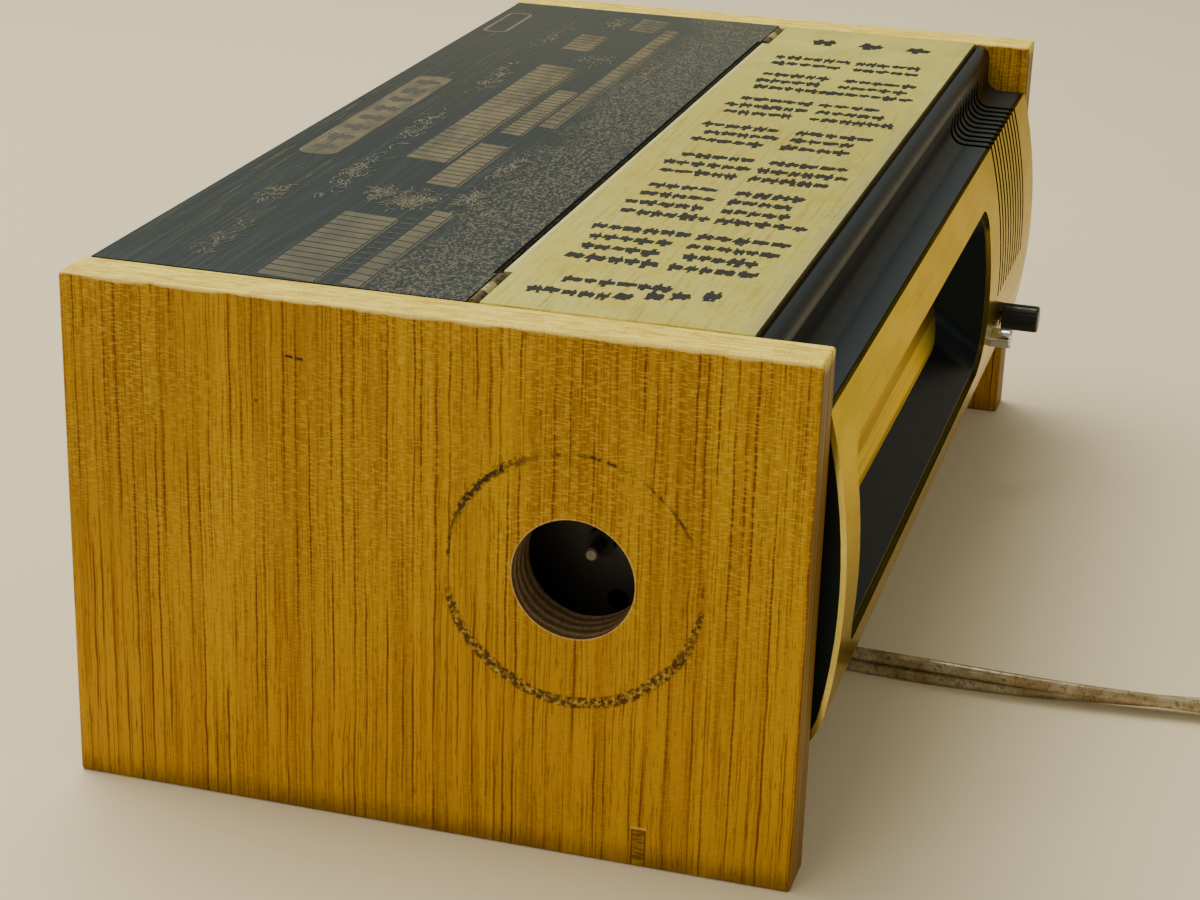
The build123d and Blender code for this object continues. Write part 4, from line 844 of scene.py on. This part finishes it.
def grass(inlay, rng, count):
    """Short slanting strokes in front of the buildings."""
    for _ in range(count):
        x = rng.uniform(-140, 140) * MM
        y = back(rng.uniform(78, 97))
        lean = rng.uniform(-0.6, 0.6) * MM
        long = rng.uniform(1.0, 5.0) * MM
        inlay.stroke((x, y), (x + long, y + lean), 0.16 * MM, 0.30 * MM)


def blank_label(inlay, x0, x1, y0, y1, hollow):
    """A rounded label without any writing, filled or drawn as an outline."""
    r, steps = (y1 - y0) * 0.35, 5
    corners = ((x1 - r, y1 - r, 0), (x0 + r, y1 - r, 90), (x0 + r, y0 + r, 180), (x1 - r, y0 + r, 270))
    outline = []
    for cx, cy, start in corners:
        for i in range(steps + 1):
            a = math.radians(start + 90 * i / steps)
            outline.append((cx + r * math.cos(a), cy + r * math.sin(a)))
    if not hollow:
        inlay.shape(outline)
        return
    for a, b in zip(outline, outline[1:] + outline[:1]):
        inlay.stroke(a, b, 1.0 * MM, 1.0 * MM)


# Millimetres: X of both ends, depths of both sides, and what else a shape needs.
ROOFS = (  # with the pitch of the tiles and the slant
    (-145, -96, 109, 122, 3.6, 1.5),
    (-145, -88, 99, 103.5, 4.2, 1.0),
    (-66, -24, 106, 113.5, 3.4, 1.2),
    (-46, 66, 115.5, 126, 3.8, 2.0),
    (-14, 36, 107, 112.5, 3.0, 1.0),
    (-4, 122, 101.5, 105.5, 4.4, 1.0),
    (86, 108, 119, 127, 3.6, 1.4),
    (118, 136, 108, 116, 3.6, 1.4),
)
POSTS = ((-140, -92, 104.3, 107.5, 4.0), (-10, 60, 112.9, 114.4, 2.6))  # with their pitch
SKY = (-143, 144, 137, 157)
FILLED_LABEL = (-50, 39, 142.5, 152.5)
HOLLOW_LABEL = (101, 129, 149, 155.5)
ORNAMENTS, ORNAMENT_X, ORNAMENT_PITCH, ORNAMENT_DEPTH = 8, -42.5, 10.6, 147.5
TREES = (  # X, depth, half widths along X and in depth, and number of strokes
    (-122, 139, 14, 2.6, 34), (-84, 143, 12, 2.2, 28), (-62, 132, 22, 2.6, 60),
    (-80, 111, 9, 6.0, 90), (-76, 121, 7, 4.0, 40), (-72, 99, 14, 3.0, 60),
    (-18, 133, 22, 2.2, 44), (48, 133, 22, 2.4, 50), (76, 113, 7, 5.0, 46),
    (100, 134, 20, 2.2, 44), (128, 122, 10, 3.0, 34), (-42, 100, 12, 2.4, 40), (66, 96, 34, 2.0, 60),
)


def on_plate(x0, x1, low, high):
    """Ends and sides in millimetres and depths, turned into X and Y."""
    return x0 * MM, x1 * MM, back(low), back(high)


def etched_picture(rng, material):
    """An invented view of long low buildings under a hatched sky, and a filled label."""
    inlay = Inlay(TOP_Z)
    for *place, pitch, slant in ROOFS:
        roof(inlay, *on_plate(*place), pitch * MM, slant * MM)
    for *place, pitch in POSTS:
        pillars(inlay, *on_plate(*place), pitch * MM)
    grass(inlay, rng, 90)
    hatch(inlay, rng, *on_plate(*SKY), 150)
    blank_label(inlay, *on_plate(*FILLED_LABEL), hollow=False)
    inlay.piece("etched_picture", "case", "gold_plate", material)


def etched_foliage(rng, material):
    """Trees and bushes round the buildings, and a hollow label."""
    inlay = Inlay(TOP_Z + FOLIAGE_LIFT)
    for x, depth, wide, tall, count in TREES:
        scribble(inlay, rng, x * MM, back(depth), wide * MM, tall * MM, count)
    blank_label(inlay, *on_plate(*HOLLOW_LABEL), hollow=True)
    inlay.piece("etched_foliage", "case", "gold_plate", material)


def label_ornaments(rng, material):
    """A row of dark blots on the filled label, in the place of writing."""
    inlay = Inlay(TOP_Z + ORNAMENT_LIFT)
    for i in range(ORNAMENTS):
        x = (ORNAMENT_X + i * ORNAMENT_PITCH) * MM
        brush_blot(inlay, rng, x, back(ORNAMENT_DEPTH), 6.4 * MM, 7.4 * MM)
    inlay.piece("label_ornaments", "case", "dark_plate", material)


def seam_line(material):
    """The dark plate's edge along the seam, worn to matt black between the hinges."""
    inlay = Inlay(TOP_Z)
    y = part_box("rear_top_plate")[0].y + 0.45 * MM
    near, far, wide = -125.5 * MM, 120.2 * MM, 0.8 * MM
    inlay.stroke((near, y), (far, y), wide, wide)
    inlay.piece("seam_line", "case", "dark_plate", material)


# ---- dial
GLASS_MIDDLE = (-37.0 * MM, 7.0 * MM, 53.5 * MM)  # of the glass's lower edge: X, depth and height
GLASS_HALF = 15.1 * MM
DIAL_LEAN = math.radians(12)
CARD_BEHIND = 9.0 * MM  # from the glass to the card
SCALE_HALF = 78 * MM  # half the length of the ruled scales
SCALES = (  # height on the card in millimetres, number of ticks, and names
    (6.0, 43, "54 60 70 80 100 120 160"),
    (-4.6, 37, "4 5 6 7 8 10 12"),
)
RULE_HALF = 0.15 * MM  # half the thickness of a rule or a tick


def dial_point(across, up, behind):
    """A place on the leaning plane of the dial, measured from its middle."""
    x, depth, z = GLASS_MIDDLE
    rise = GLASS_HALF + up
    depth += rise * math.sin(DIAL_LEAN) + behind * math.cos(DIAL_LEAN)
    z += rise * math.cos(DIAL_LEAN) - behind * math.sin(DIAL_LEAN)
    return Vector((x + across, FRONT_Y + depth, z))


def dial_bar(vertices, faces, across0, across1, up0, up1):
    """One flat bar printed on the card."""
    first = len(vertices)
    for behind in (CARD_BEHIND - 0.06 * MM, CARD_BEHIND + 0.1 * MM):
        corners = ((across0, up0), (across1, up0), (across1, up1), (across0, up1))
        vertices += [dial_point(a, u, behind) for a, u in corners]
    for quad in ((0, 1, 2, 3), (7, 6, 5, 4), (0, 4, 5, 1), (1, 5, 6, 2), (2, 6, 7, 3), (3, 7, 4, 0)):
        faces.append(tuple(first + i for i in quad))


def dial_numbers(vertices, faces, text, across, up, size):
    """A number on the card, in Blender's own plain font."""
    curve = bpy.data.curves.new("number", "FONT")
    curve.body = text
    curve.align_x = "CENTER"
    curve.size = size
    curve.extrude = 0.08 * MM
    curve.resolution_u = 3
    corners, polygons = mesh_of(curve)
    first = len(vertices)
    vertices.extend(dial_point(across + c.x, up + c.y, CARD_BEHIND - c.z) for c in corners)
    faces.extend(tuple(first + i for i in polygon) for polygon in polygons)


def dial_scale(vertices, faces, up, ticks, names):
    """One ruled scale: a long rule, its ticks, every sixth taller, and numbers below it."""
    dial_bar(vertices, faces, -SCALE_HALF, SCALE_HALF, up - RULE_HALF, up + RULE_HALF)
    for i in range(ticks):
        across = -SCALE_HALF + 2 * SCALE_HALF * i / (ticks - 1)
        tall = (2.6 if i % 6 == 0 else 1.4) * MM
        dial_bar(vertices, faces, across - RULE_HALF, across + RULE_HALF, up, up + tall)
    end = SCALE_HALF - 6 * MM
    for i, text in enumerate(names):
        across = -end + 2 * end * i / (len(names) - 1)
        dial_numbers(vertices, faces, text, across, up - 5.0 * MM, 4.6 * MM)


def dial_print(material):
    """Two ruled scales with plain numbers on the card."""
    vertices, faces = [], []
    for up, ticks, names in SCALES:
        dial_scale(vertices, faces, up * MM, ticks, names.split())
    add_piece("dial_print", vertices, faces, "case", material)


# ---- mains lead
CORD = 6.2 * MM  # width of the twin flex
STRAND = 1.55 * MM  # radius of one of its two strands
ON_EDGE = 85 * MM  # the flex stays on edge this far from the radio, then turns slowly
TWIST_PITCH = 300 * MM
SPLIT_END, SPLIT_FADE = 140 * MM, 50 * MM  # near the radio the strands part a little
COIL_X, COIL_Y = -7 * MM, -200 * MM
OUTER_TURN = 41.2 * MM
LOW_Z, HIGH_Z = 3.1 * MM, 9.3 * MM  # heights of the coil's two layers
TURN_POINTS = 18
FIRST_ANGLE, LAST_ANGLE = 190.0, 2110  # degrees round the coil's middle
INWARDS = ((470, 510), (830, 870))  # where the lower layer steps inwards
CLIMB = (1158, 1216)
OUTWARDS = ((1490, 1545), (1850, 1905))  # where the upper layer steps outwards
TAIL = ((4, 8.9), (16, 6.6), (31, 6.2))  # along the straight end, and height, in millimetres
ROUTE = [  # millimetres
    (-52.0, -3.23, 16.27),
    (-52.0, -11.0, 8.49),
    (-51.6, -23.9, 3.1),
    (-49.0, -50.5, 3.1),
    (-51.2, -85.5, 3.1),
    (-50.4, -120.5, 3.1),
    (-45.6, -157.5, 3.1),
]


def step_between(value, low, high):
    """0 below low, 1 above high, and smooth between."""
    share = min(max((value - low) / (high - low), 0.0), 1.0)
    return share * share * (3 - 2 * share)


def coil_point(turn):
    """Where the lead lies after it has gone round the coil's middle to an angle, in degrees."""
    inwards = sum(step_between(turn, *step) for step in INWARDS)
    outwards = sum(step_between(turn, *step) for step in OUTWARDS)
    z = LOW_Z + (HIGH_Z - LOW_Z) * step_between(turn, *CLIMB)
    r = (OUTER_TURN - CORD * (inwards - outwards)) / math.cos(math.pi / TURN_POINTS)
    a = math.radians(turn)
    return (COIL_X + r * math.cos(a), COIL_Y + r * math.sin(a), z)


def tail_point(along, z):
    """A place on the short straight end between the coil and the plug."""
    leave, ahead = math.radians(-40), math.radians(50)
    x = COIL_X + OUTER_TURN * math.cos(leave) + along * math.cos(ahead)
    y = COIL_Y + OUTER_TURN * math.sin(leave) + along * math.sin(ahead)
    return (x, y, z)


def lead_points():
    """Control points of the lead: the route, every turn of the coil, and the end in the plug."""
    points = [tuple(v * MM for v in p) for p in ROUTE]
    turn = FIRST_ANGLE
    while turn < LAST_ANGLE:
        points.append(coil_point(turn))
        turn += 360 / TURN_POINTS
    return points + [tail_point(along * MM, z * MM) for along, z in TAIL]


def smooth_line(points):
    """Points along a NURBS spline of order 3 with those control points."""
    curve = bpy.data.curves.new("lead_line", "CURVE")
    curve.dimensions = "3D"
    curve.resolution_u = 8
    spline = curve.splines.new("NURBS")
    spline.points.add(len(points) - 1)
    for point, place in zip(spline.points, points):
        point.co = (*place, 1.0)
    spline.order_u = 3
    spline.use_endpoint_u = True
    return mesh_of(curve)[0]


def twist_at(along):
    """How far the flex is turned about its own line."""
    return math.radians(90) + 2 * math.pi * max(along - ON_EDGE, 0.0) / TWIST_PITCH


def strands_apart(along):
    """From the middle of the flex to the middle of a strand."""
    return STRAND * (0.97 + 0.10 * step_between(SPLIT_END - along, 0.0, SPLIT_FADE))


def sweep_strand(line, side_of, vertices, faces):
    """One round strand beside the line, as a closed tube."""
    around, along, first = 14, 0.0, len(vertices)
    for i, here in enumerate(line):
        before, after = line[max(i - 1, 0)], line[min(i + 1, len(line) - 1)]
        heading = (after - before).normalized()
        side = Vector((0, 0, 1)).cross(heading).normalized()
        up = heading.cross(side)
        if i:
            along += (here - line[i - 1]).length
        turn = twist_at(along)
        wide = side * math.cos(turn) + up * math.sin(turn)
        middle = here + wide * side_of * strands_apart(along)
        for k in range(around):
            a = 2 * math.pi * k / around
            vertices.append(middle + (side * math.cos(a) + up * math.sin(a)) * STRAND)
    for i in range(len(line) - 1):
        for k in range(around):
            ring = first + i * around
            a, b = ring + k, ring + (k + 1) % around
            faces.append((a, b, b + around, a + around))
    last = first + (len(line) - 1) * around
    faces.append(tuple(reversed(range(first, first + around))))
    faces.append(tuple(range(last, last + around)))


def make_lead(material):
    """Both strands of the flex along its line, as one piece in place of the CAD lead, which is hidden.
    """
    line = smooth_line(lead_points())
    vertices, faces = [], []
    for side_of in (1, -1):
        sweep_strand(line, side_of, vertices, faces)
    lead = add_piece("mains_flex", vertices, faces, "case", material, smooth=True)
    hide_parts("mains_lead", "lead_coil")


# ---- main
def soften(names):
    """Shade the CAD nodes' curved faces smoothly and keep their edges crisp."""
    for name in names:
        mesh = nodes[name].data
        mesh.polygons.foreach_set("use_smooth", [True] * len(mesh.polygons))
        mesh.set_sharp_from_angle(angle=math.radians(35))


def dress_case():
    """Boards, sheets, hinges and the front."""
    dress("left_end_panel", veneer("veneer_left", rubbed=True))
    dress("right_end_panel", veneer("veneer_right", rubbed=False))
    dress("bottom_board glued_battens rear_top_board lid_board", board_wood())
    dress("back_cover", hardboard())
    dress("front_moulding", black_moulding())
    dress("face_plate", bright_face())
    dress("lid_plate", gold_sheet())
    dress("rear_top_plate", dark_sheet())
    brassy = old_brass("hinge_brass", (0.66, 0.60, 0.30), (0.24, 0.19, 0.07))
    dress("hinge_lid_leaves hinge_body_screws hinge_lid_screws", brassy)
    dress("hinge_body_leaves", old_brass("hinge_brown", (0.17, 0.145, 0.075), (0.05, 0.042, 0.024)))
    dress("dial_glass", tinted_glass())
    dress("dial_scale", dial_card())


def dress_plastics():
    """Moulded, painted and woven pieces."""
    dress("tray", plastic("tray_plastic", (0.03, 0.03, 0.032), 0.5))
    dress("dial_pointer", plastic("pointer_plastic", (0.62, 0.10, 0.04), 0.4))
    nylon = plastic("nylon", (0.72, 0.69, 0.60), 0.45)
    dress("corner_pulley_upper corner_pulley_lower end_pulley board_pillars ferrite_brackets", nylon)
    dress("dial_cord", plastic("dial_string", (0.62, 0.56, 0.42), 0.85))
    dress("tuning_bracket", plastic("black_paint", (0.020, 0.018, 0.016), 0.4))
    dress("spindle_bush", plastic("bush_plastic", (0.006, 0.006, 0.006), 0.6))
    dress("circuit_board", plastic("resin_board", (0.26, 0.15, 0.05), 0.5))
    dark = plastic("component_plastic", (0.05, 0.05, 0.06), 0.45)
    dress("transistors electrolytic_capacitors resistors switch_body", dark)
    dress("ferrite_rod speaker_magnet", plastic("ferrite", (0.045, 0.045, 0.048), 0.6))
    dress("speaker_cone", speaker_paper())
    dress("volume_knob", plastic("knob_plastic", (0.006, 0.008, 0.011), 0.35))
    dress("strain_relief lead_tie", plastic("rubber", (0.035, 0.032, 0.030), 0.75))
    dress("plug_body", plastic("plug_plastic", (0.22, 0.18, 0.12), 0.35))


def dress_metals():
    """Bare metal pieces and the windings."""
    dress("capacitor_rotor coil_cans", metal("bare_aluminium", (0.70, 0.70, 0.70), 0.35))
    steel = "hinge_pins pointer_rail dial_chassis corner_pulley_pin capacitor_frame transformer_core"
    steel += " speaker_basket inside_screws case_screws volume_control"
    dress(steel, metal("zinc", (0.52, 0.52, 0.50), 0.38))
    brass = metal("brass", (0.60, 0.47, 0.22), 0.28)
    dress("reduction_drive volume_shaft plug_blades", brass)
    # The spindle's metal is made dark as painted shade of the dark inside of the radio.
    dress("tuning_spindle", metal("spindle_metal_shaded", (0.20, 0.18, 0.15), 0.55))
    dress("push_button", metal("chrome", (0.80, 0.86, 0.92), 0.10))
    dress("ferrite_coil transformer_bobbin", windings())


def draw_marks():
    """What is printed or etched on the lid, the dark plate and the dial card."""
    ink = plastic("etch_ink", (0.010, 0.013, 0.013), 0.5, shine=0.22)
    faded = plastic("label_ink", (0.036, 0.036, 0.030), 0.5)
    lid_marks(ink)
    rng = random.Random(11)
    etched_picture(rng, bare_etch("etched_roofs", (0.170, 0.150, 0.085), (0.085, 0.080, 0.055)))
    etched_foliage(rng, bare_etch("etched_leaves", (0.20, 0.195, 0.14), (0.10, 0.105, 0.085)))
    label_ornaments(rng, faded)
    seam_line(plastic("seam_black", (0.002, 0.002, 0.002), 0.8, shine=0.05))
    dial_print(ink)


def main():
    """Every piece and every material, in turn."""
    make_camera()
    vinyl = old_vinyl()
    make_lead(vinyl)
    dress("mains_lead lead_coil", vinyl)
    make_floor()
    make_light()
    soften(nodes)
    dress_case()
    dress_plastics()
    dress_metals()
    draw_marks()


main()
